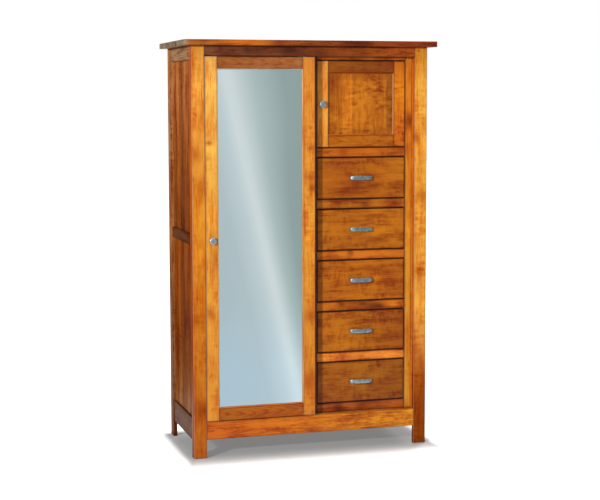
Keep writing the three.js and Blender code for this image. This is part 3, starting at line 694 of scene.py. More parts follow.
# Boards of the case's front after the front posts: slot, axis of the grain, tones, figure, its arris
CASE_BOARDS = {
    "post_back_left": ("side_wood", Z, ((0, (100, 60, 40)), (0.06, (110, 69, 47)), (0.12, (122, 85, 63)),
                                        (0.5, (153, 102, 62)), (1, (163, 112, 72))), (0.14, 0, 0.3), "post_arris"),
    "post_back_right": ("side_wood", Z, ((0, (140, 92, 50)), (1, (150, 94, 44))), PLAIN_FIGURE, "post_arris"),
    # The slab's pale grey-brown left end is a painted sheen over its stain
    "top_slab": ("rail_wood", X, ((0, (138, 124, 106)), (0.02, (143, 86, 45)), (0.25, (173, 96, 36)),
                                  (0.5, (122, 66, 36)), (0.8, (131, 63, 36)), (1, (138, 63, 36))),
                 (0.03, 0, 0.25), "slab_arris"),
    "front_top_rail": ("rail_wood", X, ((0, (113, 73, 50)), (0.4, (107, 60, 43)), (0.7, (139, 74, 36)),
                                        (1, (177, 91, 35))), (0.06, 0, 0.4), "board_arris"),
    "front_bottom_rail": ("rail_wood", X, ((0, (182, 92, 35)), (0.5, (190, 108, 36)), (1, (214, 144, 41))),
                          (0.03, 0.08, 0.3), "board_arris"),
    "face_stile_right": ("front_wood", Z, ((0, (192, 142, 57)), (0.5, (197, 136, 51)), (1, (193, 122, 48))),
                         (0.03, 0, 0.6), "board_arris"),
    "face_top_rail": ("rail_wood", X, ((0, (182, 96, 40)), (1, (196, 104, 40))), (0.03, 0, 0.9), "board_arris"),
}
POST_LOTS, POST_CURLS, CASE_LOT, PARTITION_LOT = (1, 2), (0.07, 0.13), 3, 10
RAIL_FACE, PARTITION_THICK = 20 * MM, 19 * MM


class CHIFFOROBE_OT_case_front(bpy.types.Operator):
    """Posts, top slab, top and bottom rail, right stile and thin top rail of the column"""
    bl_idname = "chifforobe.case_front"
    bl_label = "Case front"

    def execute(self, context):
        for hand, lot, curl in zip(("left", "right"), POST_LOTS, POST_CURLS):
            front_post(hand, lot, curl)
        for lot, (node, (slot, along, tones, figure, arris)) in enumerate(CASE_BOARDS.items(), CASE_LOT):
            simple_board(node, slot, along, lot, tones, figure, getattr(context.scene.chifforobe_sizes, arris))
        partition = Mould("front_wood")
        low, high = box_of("center_partition")
        split = low[Y] + RAIL_FACE
        partition.board(low, (high[X], split, high[Z]), Z, PARTITION_LOT, ((0, (124, 62, 38)), (1, (120, 60, 38))))
        partition.board((high[X] - PARTITION_THICK, split, low[Z]), high, Z, PARTITION_LOT + 1,
                        ((0, (150, 98, 52)), (1, (156, 104, 58))))
        put("center_partition_wood", partition, "post_wood", "case", "center_partition")
        dress("ledge", "bottom_board")
        return {"FINISHED"}


# Tones along each board of a side, and factors across its panels and the back, from front to rear or left to right
SIDE_BOARDS = {
    "upper_panel": (Z, ((0, (117, 65, 37)), (0.4, (136, 78, 42)), (1, (164, 102, 59)))),
    "lower_panel": (Z, ((0, (139, 90, 42)), (0.3, (118, 67, 36)), (1, (130, 70, 36)))),
    # The top rails' pale grey-brown is a painted sheen over their brown stain
    "top_rail": (Y, ((0, (147, 116, 88)), (1, (152, 121, 92)))),
    "mid_rail": (Y, ((0, (90, 58, 43)), (1, (96, 62, 43)))),
    "bottom_rail": (Y, ((0, (90, 60, 40)), (1, (94, 63, 42)))),
}
SIDE_BANDS = ((0, 0.95), (0.08, 0.8), (0.2, 0.92), (0.3, 1.1), (0.42, 1.0), (0.5, 0.62), (0.6, 0.85), (0.7, 1.4),
              (0.78, 1.2), (0.85, 0.72), (0.92, 1.15), (1, 1.05))
BACK_BANDS = ((0, 1.0), (0.2, 0.94), (0.4, 1.04), (0.6, 0.96), (0.8, 1.03), (1, 0.98))
SIDE_FIGURE, SIDE_LOTS, BACK_LOT = (0.12, 0, 0.3), {"left": 20, "right": 30}, 40


class CHIFFOROBE_OT_sides(bpy.types.Operator):
    """Rails and panels of both sides, and the back panel"""
    bl_idname = "chifforobe.sides"
    bl_label = "Sides and back"

    def execute(self, context):
        for hand, first in SIDE_LOTS.items():
            bands = SIDE_BANDS if hand == "left" else [(1 - share, value) for share, value in SIDE_BANDS[::-1]]
            for lot, (name, (along, tones)) in enumerate(SIDE_BOARDS.items(), first):
                panel = along == Z
                simple_board(f"side_{hand}_{name}", "side_wood", along, lot, tones,
                             SIDE_FIGURE if panel else PLAIN_FIGURE, across=bands if panel else None)
        simple_board("back_panel", "inner_wood", Z, BACK_LOT, ((0, (176, 132, 82)), (1, (184, 140, 88))),
                     across=BACK_BANDS)
        return {"FINISHED"}


RAIL_TONES = {"cupboard_floor": ((174, 96, 35), (166, 84, 35)), "web_frame_1": ((178, 109, 36), (168, 97, 36)),
              "web_frame_2": ((191, 108, 38), (181, 98, 38)), "web_frame_3": ((175, 98, 36), (168, 93, 36)),
              "web_frame_4": ((215, 127, 51), (208, 122, 51)), "web_frame_5": ((160, 86, 36), (152, 79, 36))}
RAIL_FIGURE, FRAME_LOT, FLOOR_LOT = (0.06, 0, 0.85), 50, 60
RUNNER_WIDE, RAIL_DEEP, STILE_SIDE = 40 * MM, 60 * MM, 34 * MM
GUIDE_TALL, GUIDE_GAP, FLOOR_THICK = 18 * MM, 1 * MM, 9 * MM
DRESSED = {
    "inner_y": ("shelf_cleat_left", "shelf_cleat_right"), "inner_x": ("hat_shelf",),
    "inner_z": ("mirror_backboard",), "aluminium": ("door_track",),
    "steel": ("hanging_rod", "door_guide", "door_hanger_left", "door_hanger_right"),
    "dark_steel": ("small_door_pivot_lower", "small_door_pivot_upper"),
}


def web_frame(node, lot):
    """Front rail, two runners and back rail of a web frame. One under a drawer has a strip that guides the
    drawer, and the cupboard's floor has a plate instead."""
    low, high = box_of(node)
    floor = node == "cupboard_floor"
    top = high[Z] - (0.0 if floor else GUIDE_TALL)
    right, face, deep, rear = high[X] - STILE_SIDE, low[Y] + RAIL_FACE, low[Y] + RAIL_DEEP, high[Y] - RAIL_DEEP
    mould, tones = Mould("rail_wood"), list(enumerate(RAIL_TONES[node]))
    mould.board(low, (right, face, top), X, lot, tones, RAIL_FIGURE, spots=SPOTS[node])
    boards = [(0.1, X, (low[X], face, low[Z]), (right, deep, top)),
              (0.2, Y, (low[X], deep, low[Z]), (low[X] + RUNNER_WIDE, rear, top)),
              (0.4, Y, (right - RUNNER_WIDE, deep, low[Z]), (right, rear, top)),
              (0.6, X, (low[X], rear, low[Z]), (right, high[Y], top)),
              (0.7, Y, (right, face, low[Z]), (high[X], high[Y], top))]
    if floor:
        boards.append((1, X, (low[X] + RUNNER_WIDE, deep, high[Z] - FLOOR_THICK),
                       (right - RUNNER_WIDE, rear, high[Z])))
    else:
        boards.append((0.8, Y, (right + GUIDE_GAP, face, top), high))
    for step, along, start, end in boards:
        mould.board(start, end, along, lot + step, tones)
    put(node + "_wood", mould, "rail_wood", "case", node)


class CHIFFOROBE_OT_column(bpy.types.Operator):
    """Rails between the drawers, the cupboard's floor and the fittings inside"""
    bl_idname = "chifforobe.column"
    bl_label = "Drawer rails and inside"

    def execute(self, context):
        for number in range(1, 6):
            web_frame(f"web_frame_{number}", FRAME_LOT + number)
        web_frame("cupboard_floor", FLOOR_LOT)
        for look, nodes in DRESSED.items():
            dress(look, *nodes)
        return {"FINISHED"}


# Bevel on a door's inner edge: hollow as a share of its width, how far that goes each way, and the steps
# from behind it back to the face
HOLLOW_SHARE, HOLLOW_LEAN = 0.12, 0.7
STICKING_BACK, STICKING_SIDE, STICKING_FACE = 1.2 * MM, 0.4 * MM, 0.1 * MM


def sticking(width, lip, tuck):
    """Profile of the bevel on a door's inner edge: a slightly hollowed slope, then straight in to the lip."""
    slope = np.linspace(0.0, 1.0, 5)
    hollow = HOLLOW_SHARE * width * np.sin(np.pi * slope) * HOLLOW_LEAN
    points = list(zip(width * slope - hollow, width * slope + hollow))
    return points + [(width, lip), (-tuck, lip), (-tuck, STICKING_BACK), (-STICKING_SIDE, STICKING_BACK),
                     (-STICKING_SIDE, STICKING_FACE)]


# Mirror door: tones of its boards, and the bevel's colours below, right, above and left. These paint the bevel's
# light and shade: a bright painted highlight at the left, a pale grey painted reflection above, and a greyish painted
# sheen at the right
# The foot and head rails are darker than the stiles, partly as painted shade for their cross grain
DOOR_TONES = {
    "left": ((0, (189, 127, 52)), (0.3, (198, 139, 56)), (0.6, (200, 147, 62)), (1, (207, 164, 83))),
    "right": ((0, (185, 119, 44)), (0.5, (205, 146, 57)), (1, (193, 125, 53))),
    "foot": ((0, (146, 87, 35)), (0.5, (158, 97, 35)), (1, (151, 90, 35))),
    "head": ((0, (135, 89, 48)), (0.5, (146, 97, 60)), (1, (152, 103, 65))),
}
DOOR_LOT, DOOR_BEVEL_LOT = 70, 76
DOOR_BEVEL_PAINTED_LIGHT = ((176, 100, 44), (168, 128, 84), (170, 160, 148), (250, 200, 130))
DOOR_FACE, MIRROR_REBATE, GROOVE_GAP, GLASS_ARRIS = 6 * MM, 8 * MM, 1.5 * MM, 0.8 * MM
DOOR_LIP, DOOR_TUCK = 8 * MM, 5 * MM


class CHIFFOROBE_OT_mirror_door(bpy.types.Operator):
    """Sliding door: two stiles, two rails, the bevel round the glass, and the mirror"""
    bl_idname = "chifforobe.mirror_door"
    bl_label = "Mirror door"

    def execute(self, context):
        bevel = context.scene.chifforobe_sizes.door_sticking
        low, high = box_of("mirror_door_frame")
        glass_low, glass_high = box_of("mirror_glass")
        sight_low, sight_high = glass_low + MIRROR_REBATE, glass_high - MIRROR_REBATE
        face_x, face_z = [(sight_low[k] - bevel, sight_high[k] + bevel) for k in (X, Z)]
        rear_x, rear_z = [(sight_low[k] - MIRROR_REBATE, sight_high[k] + MIRROR_REBATE) for k in (X, Z)]
        split = low[Y] + DOOR_FACE
        foot = max(low[Z], box_of("door_guide")[1][Z] + GROOVE_GAP)
        mould = Mould("front_wood")
        members = (  # name, axis, figure, ends of its front part, ends of its part behind the rebate and groove
            ("left", Z, (0.07, 0, 0.45), (low[X], low[Z], face_x[0], high[Z]), (low[X], foot, rear_x[0], high[Z])),
            ("right", Z, (0.08, 0, 0.45), (face_x[1], low[Z], high[X], high[Z]), (rear_x[1], foot, high[X], high[Z])),
            ("foot", X, (0.05, 0.2, 0.53), (face_x[0], low[Z], face_x[1], face_z[0]),
             (rear_x[0], foot, rear_x[1], rear_z[0])),
            ("head", X, (0.05, 0.14, 0.53), (face_x[0], face_z[1], face_x[1], high[Z]),
             (rear_x[0], rear_z[1], rear_x[1], high[Z])))
        for lot, (name, along, figure, front, rear) in enumerate(members, DOOR_LOT):
            middle = ((front[0] + front[2]) / 2, (low[Y] + high[Y]) / 2, (front[1] + front[3]) / 2)
            for (x0, z0, x1, z1), start, end, spots in (
                    (front, low[Y], split, SPOTS.get("door_stile_" + name, ())), (rear, split, high[Y], ())):
                mould.board((x0, start, z0), (x1, end, z1), along, lot, DOOR_TONES[name], figure, middle=middle,
                            spots=spots)
        put("mirror_door_wood", mould, "front_wood", "mirror_door", "mirror_door_frame")
        bead = Mould("front_wood")
        bead.frame_bevel((face_x, face_z), low[Y], sticking(bevel, DOOR_LIP, DOOR_TUCK), DOOR_BEVEL_LOT,
                         DOOR_BEVEL_PAINTED_LIGHT)
        put("mirror_door_bead", bead, "front_wood", "mirror_door")
        glass = Mould("mirror")
        glass.board(glass_low, glass_high, Z, 0, ((0, BASES["mirror"]), (1, BASES["mirror"])), arris=GLASS_ARRIS)
        put("mirror_plate", glass, "mirror", "mirror_door", "mirror_glass")
        return {"FINISHED"}


# Small door: the bevel's colours below, right, above and left, which paint its light and shade: lighter below, darker
# above, with a greyish painted sheen at the sides
SMALL_LOT, SMALL_BEVEL_LOT, PANEL_LOT = 80, 86, 88
SMALL_BEVEL_PAINTED_LIGHT = ((164, 96, 38), (150, 102, 62), (140, 78, 32), (140, 92, 56))
SMALL_LIP, SMALL_TUCK = 9 * MM, 3 * MM
# Raised panel, in millimetres as inset and depth: tongue, slope with a slight hollow, shoulder and field
PANEL_TONGUE = ((0.0, 11.0), (0.0, 4.9), (0.3, 4.5), (9.7, 4.5), (10.2, 4.4))
PANEL_SLOPE_STEPS, PANEL_SLOPE_WIDE, PANEL_SLOPE_RISE, PANEL_HOLLOW = 8, 29.2, 3.3, 0.35
PANEL_SHOULDER = ((39.6, 0.35), (39.9, 0.08), (40.6, 0.0))
PANEL_RINGS = range(48, 158, 8)
PANEL_STEPS = 41
PANEL_COLOUR, PANEL_FIGURE = (185, 111, 39), (0.16, 0.02, 0.0)
PANEL_BOARDS = ((0, 0.9), (0.21, 0.94), (0.23, 1.2), (0.36, 1.16), (0.385, 0.92), (0.42, 1.0), (0.58, 1.06),
                (0.62, 0.97), (0.8, 1.02), (0.83, 0.88), (0.86, 1.0), (0.92, 0.86), (1, 0.92))
# Factors by distance from the panel's edge in millimetres: painted shade on the tongue and slope, darkest where they
# meet, and a painted highlight at the field's shoulder
PANEL_RIM_SHADE_AND_HIGHLIGHT = ((0.0, 0.9), (10, 0.9), (11, 0.8), (38, 0.9), (41, 1.06), (50, 1.0))
PANEL_SPOTS = ((0.09, 0.83, 0.13, 0.16, (0.74, 0.52, 0.4)), (0.3, 0.17, 0.06, 0.02, (0.55, 0.38, 0.3)),
               (0.27, 0.11, 0.05, 0.016, (0.6, 0.42, 0.3)), (0.33, 0.24, 0.04, 0.016, (0.65, 0.48, 0.35)),
               (0.3, 0.62, 0.07, 0.03, (1.15, 1.2, 1.2)), (0.56, 0.46, 0.02, 0.05, (0.7, 0.5, 0.4)),
               (0.7, 0.93, 0.2, 0.05, (0.8, 0.66, 0.55)), (0.5, 0.93, 0.1, 0.04, (1.1, 1.12, 1.1)),
               (0.06, 0.45, 0.05, 0.1, (0.8, 0.6, 0.5)), (0.08, 0.2, 0.05, 0.12, (1.1, 1.12, 1.1)))


class CHIFFOROBE_OT_small_door(bpy.types.Operator):
    """Small door: two stiles, two rails, the bevel on their inner edges, and a raised panel"""
    bl_idname = "chifforobe.small_door"
    bl_label = "Small door"

    def execute(self, context):
        sizes = context.scene.chifforobe_sizes
        low, high = box_of("small_door_frame")
        inset = sizes.small_stile - sizes.small_sticking
        face_x, face_z = [(low[k] + inset, high[k] - inset) for k in (X, Z)]
        mould = Mould("front_wood")
        members = (
            (low, (face_x[0], high[Y], high[Z]), Z, (0.03, 0, 0.6),
             ((0, (199, 139, 56)), (0.3, (213, 152, 66)), (1, (218, 156, 74)))),
            ((face_x[1], low[Y], low[Z]), high, Z, (0.34, 0, 0.6),
             ((0, (172, 92, 34)), (0.35, (187, 107, 34)), (0.65, (207, 131, 34)), (1, (183, 101, 34)))),
            ((face_x[0], low[Y], low[Z]), (face_x[1], high[Y], face_z[0]), X, (0.05, 0.1, 0.53),
             ((0, (168, 108, 36)), (1, (161, 100, 36)))),
            ((face_x[0], low[Y], face_z[1]), (face_x[1], high[Y], high[Z]), X, (0.05, 0.1, 0.53),
             ((0, (144, 87, 36)), (0.5, (135, 79, 36)), (1, (129, 72, 36)))))
        for lot, (start, end, along, figure, tones) in enumerate(members, SMALL_LOT):
            mould.board(start, end, along, lot, tones, figure)
        put("small_door_wood", mould, "front_wood", "small_door", "small_door_frame")
        bead = Mould("front_wood")
        bead.frame_bevel((face_x, face_z), low[Y], sticking(sizes.small_sticking, SMALL_LIP, SMALL_TUCK),
                         SMALL_BEVEL_LOT, SMALL_BEVEL_PAINTED_LIGHT)
        put("small_door_bead", bead, "front_wood", "small_door")
        self.panel()
        return {"FINISHED"}

    @staticmethod
    def panel():
        """A raised panel. Seen from the front each ring is a rectangle, inset from the edge by the profile's
        first number and lying at its second: tongue, slope, shoulder and field, then the flat back."""
        low, high = box_of("small_door_panel")
        (start, foot), share = PANEL_TONGUE[-1], np.linspace(0.0, 1.0, PANEL_SLOPE_STEPS + 1)[1:]
        slope = np.stack([start + PANEL_SLOPE_WIDE * share,
                          foot - PANEL_SLOPE_RISE * share - PANEL_HOLLOW * np.sin(math.pi * share)], -1)
        field = [(inset, 0.0) for inset in PANEL_RINGS]
        inset, depth = np.concatenate([PANEL_TONGUE, slope, PANEL_SHOULDER, field]).T * MM
        middle = (low + high) / 2
        half_x, _, half_z = (high - low) / 2
        span, ones = np.linspace(-1.0, 1.0, PANEL_STEPS), np.ones(PANEL_STEPS)
        edge = np.concatenate([np.stack([span, -ones], -1), np.stack([ones, span], -1)[1:],
                               np.stack([span[::-1], ones], -1)[1:], np.stack([-ones, span[::-1]], -1)[1:-1]])
        grid = np.empty((len(inset), len(edge), 3))
        grid[..., X] = middle[X] + (half_x - inset)[:, None] * edge[None, :, 0]
        grid[..., Y] = low[Y] + depth[:, None]
        grid[..., Z] = middle[Z] + (half_z - inset)[:, None] * edge[None, :, 1]
        mesh = surface_mesh("small_door_raised_panel", grid, True, True)
        amount = len(mesh.vertices)
        places = np.empty(amount * 3)
        mesh.vertices.foreach_get("co", places)
        local = places.reshape(-1, 3) - middle
        share_x, share_z = local[:, X] / half_x * 0.5 + 0.5, local[:, Z] / half_z * 0.5 + 0.5
        stain = stain_of("drawer_wood", PANEL_COLOUR) * stops_at(share_x, PANEL_BOARDS)[:, None]
        stain = spotted(stain, share_x, share_z, PANEL_SPOTS)
        # Distance from the edge, for the painted shade on the slope and the painted highlight at the shoulder
        rim = np.minimum(half_x - abs(local[:, X]), half_z - abs(local[:, Z]))
        write_wood(mesh, local, stain * stops_at(rim / MM, PANEL_RIM_SHADE_AND_HIGHLIGHT)[:, None], np.tile(PANEL_FIGURE, (amount, 1)),
                   np.full(amount, float(PANEL_LOT)), np.zeros(amount))
        shade_round(mesh, 12)
        placed_piece("small_door_raised_panel", mesh, "panel_wood", "small_door", "drawer_wood", "small_door_panel")


DRAWER_TONES = {
    1: [(0, (168, 97, 35)), (0.3, (153, 82, 35)), (0.6, (166, 93, 35)), (1, (174, 104, 36))],
    2: [(0, (172, 102, 36)), (0.4, (162, 92, 36)), (0.7, (184, 111, 36)), (1, (174, 102, 36))],
    3: [(0, (163, 92, 35)), (0.5, (180, 104, 35)), (1, (165, 92, 35))],
    4: [(0, (165, 93, 35)), (0.35, (176, 106, 36)), (0.8, (155, 86, 35)), (1, (150, 82, 35))],
    5: [(0, (152, 88, 35)), (0.5, (157, 93, 36)), (1, (140, 81, 35))],
}
DRAWER_BANDS = ((0, 1.0), (0.25, 0.93), (0.5, 1.05), (0.75, 0.95), (1, 1.0))
DRAWER_FIGURE, DRAWER_LOT = (0.09, 0.0, 1.0), 90
# Bow pull: its line's power, the bar's length at the feet and depth, the section's powers, and the narrowed ends
BOW_POWER, BOW_STEPS, ROUND_POINTS = 2 / 2.6, 61, 28
FOOT_LONG, BAR_DEEP, END_DROP = 15 * MM, 5 * MM, 1.5 * MM
SECTION_DEEP_POWER, SECTION_TALL_POWER, CORNER_POWER, CORNER_LIMIT = 0.55, 0.62, 18, 0.985
ROUND_SHARP_DEGREES = 50


def swell(wave, power):
    """A wave raised to a power with its sign kept."""
    return np.sign(wave) * np.abs(wave) ** power


def pull_mesh(name, node):
    """A bowed bar. Its middle line is a squarish half ellipse between two feet; across it the section is a
    squarish ellipse, as deep as the bar and as tall as the pull, which narrows towards both ends."""
    low, high = box_of(node)
    middle = (low + high) / 2
    reach, out, tall = (high - low)[X] / 2, (high - low)[Y], (high - low)[Z] / 2
    turn = np.linspace(0.0, math.pi, BOW_STEPS)
    line = np.stack([swell(np.cos(turn), BOW_POWER), -swell(np.sin(turn), BOW_POWER)], -1)
    outer, inner = line * (reach, out), line * (reach - FOOT_LONG, out - BAR_DEEP)
    around = np.linspace(0.0, 2 * math.pi, ROUND_POINTS, endpoint=False)
    deep, rise = swell(np.cos(around), SECTION_DEEP_POWER), swell(np.sin(around), SECTION_TALL_POWER)
    centre, half_bar = (outer + inner) / 2, (outer - inner) / 2
    height = tall - END_DROP * (centre[:, 0] / reach) ** 2
    grid = np.empty((BOW_STEPS, ROUND_POINTS, 3))
    grid[..., X] = middle[X] + centre[:, None, 0] + half_bar[:, None, 0] * deep[None]
    grid[..., Y] = high[Y] + centre[:, None, 1] + half_bar[:, None, 1] * deep[None]
    end = np.minimum(np.abs(grid[..., X] - middle[X]) / reach, CORNER_LIMIT)
    corner = (1.0 - end ** CORNER_POWER) ** (1 / CORNER_POWER)
    grid[..., Z] = middle[Z] + height[:, None] * rise[None] * corner
    mesh = surface_mesh(name, grid, True, True)
    shade_round(mesh, ROUND_SHARP_DEGREES)
    return mesh


# Knob's outline from foot to head, as shares of its radius and height
KNOB_PROFILE = ((0.5, 0.0), (0.5, 0.04), (0.46, 0.12), (0.39, 0.22), (0.38, 0.32), (0.5, 0.46), (0.8, 0.53),
                (0.96, 0.61), (1.0, 0.70), (0.965, 0.79), (0.86, 0.87), (0.66, 0.94), (0.4, 0.98), (0.2, 0.995),
                (0.03, 1.0))
KNOB_TURNS, KNOB_PARTS, KNOB_POLE = 48, 4, 0.02


def knob_mesh(name, node):
    """A turned knob: the radius and height of a profile, made smooth by a cubic through its points with
    their own slopes, carried round an axis that points to the front."""
    low, high = box_of(node)
    middle = (low + high) / 2
    radius, out = (high - low)[X] / 2, (high - low)[Y]
    body = np.array(KNOB_PROFILE)
    last = len(body) - 1
    fine = np.linspace(0, last, KNOB_PARTS * last + 1)
    before = np.floor(fine).astype(int)
    after = np.minimum(before + 1, last)
    slope = np.gradient(body, axis=0)
    part = (fine - before)[:, None]
    curve = ((2 * part ** 3 - 3 * part ** 2 + 1) * body[before] + (part ** 3 - 2 * part ** 2 + part) * slope[before]
             + (3 * part ** 2 - 2 * part ** 3) * body[after] + (part ** 3 - part ** 2) * slope[after])
    wide, tall = np.clip(curve[:, 0], KNOB_POLE, 1.0), np.clip(curve[:, 1], 0.0, 1.0)
    turn = np.linspace(0.0, 2 * math.pi, KNOB_TURNS, endpoint=False)
    grid = np.empty((len(curve), KNOB_TURNS, 3))
    grid[..., X] = middle[X] + radius * wide[:, None] * np.cos(turn)
    grid[..., Y] = high[Y] - out * tall[:, None]
    grid[..., Z] = middle[Z] + radius * wide[:, None] * np.sin(turn)
    mesh = surface_mesh(name, grid, True, True)
    shade_round(mesh, ROUND_SHARP_DEGREES)
    return mesh


class CHIFFOROBE_OT_drawers(bpy.types.Operator):
    """Five drawer fronts, their boxes and their bowed pulls"""
    bl_idname = "chifforobe.drawers"
    bl_label = "Drawers"

    def execute(self, context):
        for number, tones in DRAWER_TONES.items():
            body = f"drawer_{number}"
            simple_board(body + "_front", "drawer_wood", X, DRAWER_LOT + number, tones, DRAWER_FIGURE,
                         across=DRAWER_BANDS)
            dress("inner_y", body + "_box")
            pull = body + "_pull"
            placed_piece(pull + "_bar", pull_mesh(pull + "_bar", pull), "pewter_pull", body, "pewter", pull)
        return {"FINISHED"}


class CHIFFOROBE_OT_knobs(bpy.types.Operator):
    """The two round pewter knobs"""
    bl_idname = "chifforobe.knobs"
    bl_label = "Knobs"

    def execute(self, context):
        for body in ("mirror_door", "small_door"):
            node = body + "_knob"
            placed_piece(node + "_turned", knob_mesh(node + "_turned", node), "pewter", body, "pewter", node)
        return {"FINISHED"}


# Camera: place, turns, focal length and middle row in the photo's pixels
EYE = np.array([-1.99405, -6.83666, 1.70665])
YAW, PITCH, ROLL = 0.2862, -0.0905, -0.0019
FOCAL_PIXELS, PRINCIPAL_ROW = 1436.62, 229.0
PHOTO_WIDTH, PHOTO_HEIGHT = 600, 500
SENSOR, FAR_CLIP = 36.0, 200.0
# Lamps: place, target, side in metres and power in watts
LAMPS = {
    "key": ((-5.9, -5.0, 2.9), (0.0, -0.2, 0.95), 0.5, 620),
    "fill": ((3.4, -5.6, 2.4), (0.0, -0.2, 1.0), 2.4, 16),
    "rear": ((4.6, 4.4, 3.6), (0.0, 0.2, 0.9), 2.4, 330),
    "overhead": ((0.0, -0.9, 4.4), (0.0, -0.85, 0.0), 3.0, 75),
}
WORLD_ON_OBJECT = 0.18
FLOOR_REACH, FLOOR_TONES = 30, ((0.90, 0.90, 0.90, 1.0), (0.94, 0.94, 0.94, 1.0))
# Grey of the contact shade that is painted into the floor's colour under and beside the object
PAINTED_CONTACT_SHADE = (0.2, 0.2, 0.197, 1.0)
# Painted contact shade on the floor: half its width, its front and rear edge, how fast it fades aside and behind, its
# glow under the object
SHADE_HALF, SHADE_FRONT, SHADE_REAR, SHADE_ASIDE, SHADE_BEHIND, SHADE_GLOW = 0.6, 0.29, 0.27, 4.0, 2.8, 0.2
# Card that the mirror shows: edges, distance, height, lean and bend of its band, fades, strength
CARD_LEFT, CARD_RIGHT, CARD_FAR, CARD_TOP, CARD_STRENGTH = -1.8, 2.5, -1.33, 2.5, 1.4
BAND_LEAN, BAND_BEND_FROM, BAND_BEND, SIDE_FADE, TOP_FADE = 0.232, 0.26, 0.5, 0.7, 0.4
CARD_STOPS = ((-0.3, (0.60, 0.60, 0.58)), (0.09, (0.68, 0.63, 0.575)), (0.19, (0.80, 0.72, 0.65)),
              (0.25, (0.97, 0.83, 0.725)), (0.275, (0.95, 0.81, 0.71)), (0.34, (0.64, 0.60, 0.52)),
              (0.42, (0.455, 0.45, 0.38)), (0.60, (0.40, 0.405, 0.33)), (1.2, (0.6, 0.6, 0.56)))
CARD_FOOT_TINT = (1.04, 1.1, 1.16, 1.0)
# Dark card left of and behind the object that only gloss sees: a painted dark reflection on the left side's lacquer
# in place of the white backdrop
DARK_LEFT, DARK_RIGHT, DARK_FAR, DARK_TOP, DARK_GLOW = -5.0, -0.7, 1.2, 2.8, (0.035, 0.03, 0.025, 1.0)


def rectangle(name, *corners):
    """A flat rectangle from its four corners."""
    mesh = bpy.data.meshes.new(name)
    mesh.from_pydata(corners, [], [(0, 1, 2, 3)])
    return linked(name, mesh)


def stand(made, side, up, away, place):
    """Puts an object at a place, with its own axes along the three given directions."""
    made.matrix_world = Matrix([[side[k], up[k], away[k], place[k]] for k in range(3)] + [[0, 0, 0, 1]])


def lamp(name, place, target, size, power):
    """A soft square lamp that looks from its place to its target."""
    data = bpy.data.lights.new(name, "AREA")
    data.shape = "RECTANGLE"
    data.size = data.size_y = size
    data.energy = power
    away = np.array(place) - np.array(target)
    away /= np.linalg.norm(away)
    side = np.cross((0.0, 0.0, 1.0), away)
    side /= np.linalg.norm(side)
    stand(linked(name, data), side, np.cross(away, side), away, place)


def gloss_card(name, left, right, far, top):
    """An upright card that only gloss and the mirror see, and its look."""
    card = rectangle(name, (left, far, 0.0), (right, far, 0.0), (right, far, top), (left, far, top))
    for ray in ("camera", "diffuse", "shadow", "transmission", "volume_scatter"):
        setattr(card, "visible_" + ray, False)
    look = Look(name)
    card.data.materials.append(look.owner)
    return look


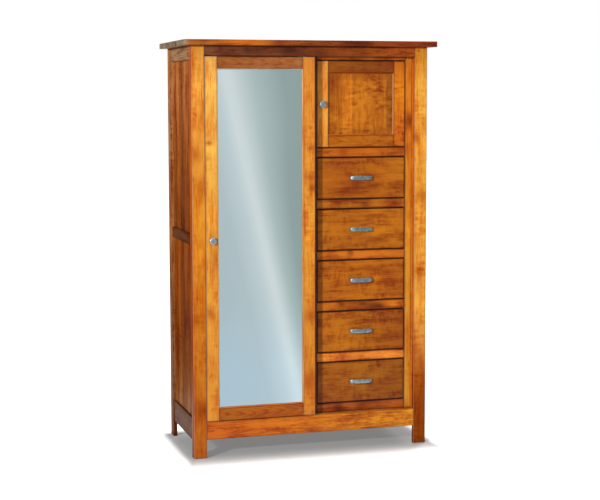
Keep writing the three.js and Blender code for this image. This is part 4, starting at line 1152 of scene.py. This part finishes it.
class CHIFFOROBE_OT_stage(bpy.types.Operator):
    """Pale floor, white background, soft lamps, reflection card and the camera"""
    bl_idname = "chifforobe.stage"
    bl_label = "Stage"

    def execute(self, context):
        self.floor()
        self.world()
        self.card()
        gloss_card("dark_card", DARK_LEFT, DARK_RIGHT, DARK_FAR, DARK_TOP).emit(DARK_GLOW, 1.0)
        for name, row in LAMPS.items():
            lamp(name, *row)
        self.camera()
        return {"FINISHED"}

    @staticmethod
    def floor():
        """Pale paper that glows white away from the object. Close to it a soft grey contact shade is painted into its
        colour, with a faint glow under the object.
        """
        reach = FLOOR_REACH
        floor = rectangle("floor", (-reach, -reach, 0), (reach, -reach, 0), (reach, reach, 0), (-reach, reach, 0))
        look = Look("floor_paper")
        own = look.own_place()
        shade = look.mix(look.span(look.noise(own, 40.0, 3.0), 0.3, 0.7), *FLOOR_TONES)
        x, y, _ = own.parts()
        aside = (look.math("ABSOLUTE", x) - SHADE_HALF) * SHADE_ASIDE
        ends = look.math("MAXIMUM", y * -1.0 - SHADE_FRONT, (y - SHADE_REAR) * SHADE_BEHIND)
        beyond = look.math("MAXIMUM", aside, ends)
        shade = look.mix(look.span(beyond, -0.12, 0.2), PAINTED_CONTACT_SHADE, shade)
        shade = look.mix(look.span(beyond, 0.3, 0.7, 0.0, 0.4), shade, BLACK)
        glow = look.span(beyond, -0.02, 0.34) + look.span(beyond, -0.1, 0.08, SHADE_GLOW, 0.0)
        look.set(Base_Color=shade, Roughness=0.9, Specular_IOR_Level=0.1, Emission_Color=WHITE,
                 Emission_Strength=look.seen() * glow)
        floor.data.materials.append(look.owner)

    @staticmethod
    def world():
        """White where it is seen, and faint as a light on the object."""
        look = Look("studio", "worlds")
        bpy.context.scene.world = look.owner
        background = look.tree.nodes["Background"].inputs
        look.wire(background["Color"], WHITE)
        look.wire(background["Strength"], look.span(look.seen(), 0.0, 1.0, WORLD_ON_OBJECT, 1.0, "LINEAR"))

    @staticmethod
    def card():
        """A glowing card that only gloss sees, a short way before the mirror: a soft slanting band between a
        bluish and a greener part, with edges that fade out."""
        look = gloss_card("reflection_card", CARD_LEFT, CARD_RIGHT, CARD_FAR, CARD_TOP)
        x, _, z = look.own_place().parts()
        lean = z * BAND_LEAN + x
        past = look.math("MAXIMUM", lean - BAND_BEND_FROM, 0.0)
        lean = lean - past * look.span(z, 0.6, 1.8, 0.0, BAND_BEND)
        first, last = CARD_STOPS[0][0], CARD_STOPS[-1][0]
        shade = look.ramp(look.span(lean, first, last, kind="LINEAR"),
                          [((place - first) / (last - first), colour) for place, colour in CARD_STOPS])
        shade = look.mix(look.span(z, 0.7, 0.1), shade, look.mix(1.0, shade, CARD_FOOT_TINT, "MULTIPLY"))
        inside = (look.span(x, CARD_LEFT, CARD_LEFT + SIDE_FADE)
                  * (look.span(x, CARD_RIGHT, CARD_RIGHT - SIDE_FADE) * look.span(z, CARD_TOP, CARD_TOP - TOP_FADE)))
        look.emit(shade, CARD_STRENGTH, inside)

    @staticmethod
    def camera():
        """The camera fitted to the photo, and colours shown as they are."""
        ahead = np.array([math.sin(YAW) * math.cos(PITCH), math.cos(YAW) * math.cos(PITCH), math.sin(PITCH)])
        right = np.array([math.cos(YAW), -math.sin(YAW), 0.0])
        up = np.cross(right, ahead)
        data = bpy.data.cameras.new("camera")
        data.sensor_width = SENSOR
        data.lens = FOCAL_PIXELS / PHOTO_WIDTH * SENSOR
        data.shift_y = (PRINCIPAL_ROW - PHOTO_HEIGHT / 2) / PHOTO_WIDTH
        data.clip_end = FAR_CLIP
        made = linked("camera", data)
        stand(made, math.cos(ROLL) * right + math.sin(ROLL) * up, math.cos(ROLL) * up - math.sin(ROLL) * right,
              -ahead, EYE)
        bpy.context.scene.camera = made
        bpy.context.scene.view_settings.view_transform = "Standard"


OPERATORS = (CHIFFOROBE_OT_case_front, CHIFFOROBE_OT_sides, CHIFFOROBE_OT_column, CHIFFOROBE_OT_mirror_door,
             CHIFFOROBE_OT_small_door, CHIFFOROBE_OT_drawers, CHIFFOROBE_OT_knobs, CHIFFOROBE_OT_stage)


class CHIFFOROBE_PT_sidebar(bpy.types.Panel):
    """Lists the operators, sizes and colours"""
    bl_idname = "CHIFFOROBE_PT_sidebar"
    bl_label = "Chifforobe"
    bl_space_type = "VIEW_3D"
    bl_region_type = "UI"
    bl_category = "Chifforobe"

    def draw(self, context):
        for operator in OPERATORS:
            self.layout.operator(operator.bl_idname)
        for group in (context.scene.chifforobe_sizes, context.scene.chifforobe_colours):
            for name in group.bl_rna.properties.keys():
                if name not in ("rna_type", "name"):
                    self.layout.prop(group, name)


CLASSES = (ChifforobeSizes, ChifforobeColours) + OPERATORS + (CHIFFOROBE_PT_sidebar,)


def register():
    """Adds the classes and the two groups of properties."""
    for made in CLASSES:
        bpy.utils.register_class(made)
    bpy.types.Scene.chifforobe_sizes = bpy.props.PointerProperty(type=ChifforobeSizes)
    bpy.types.Scene.chifforobe_colours = bpy.props.PointerProperty(type=ChifforobeColours)


def unregister():
    """Takes them away again."""
    del bpy.types.Scene.chifforobe_colours
    del bpy.types.Scene.chifforobe_sizes
    for made in reversed(CLASSES):
        bpy.utils.unregister_class(made)


def main():
    """Makes every piece in order."""
    register()
    for operator in OPERATORS:
        group, name = operator.bl_idname.split(".")
        result = getattr(getattr(bpy.ops, group), name)()
        if result != {"FINISHED"}:
            raise RuntimeError(f"{operator.bl_label} didn't finish")


if __name__ == "__main__":
    main()
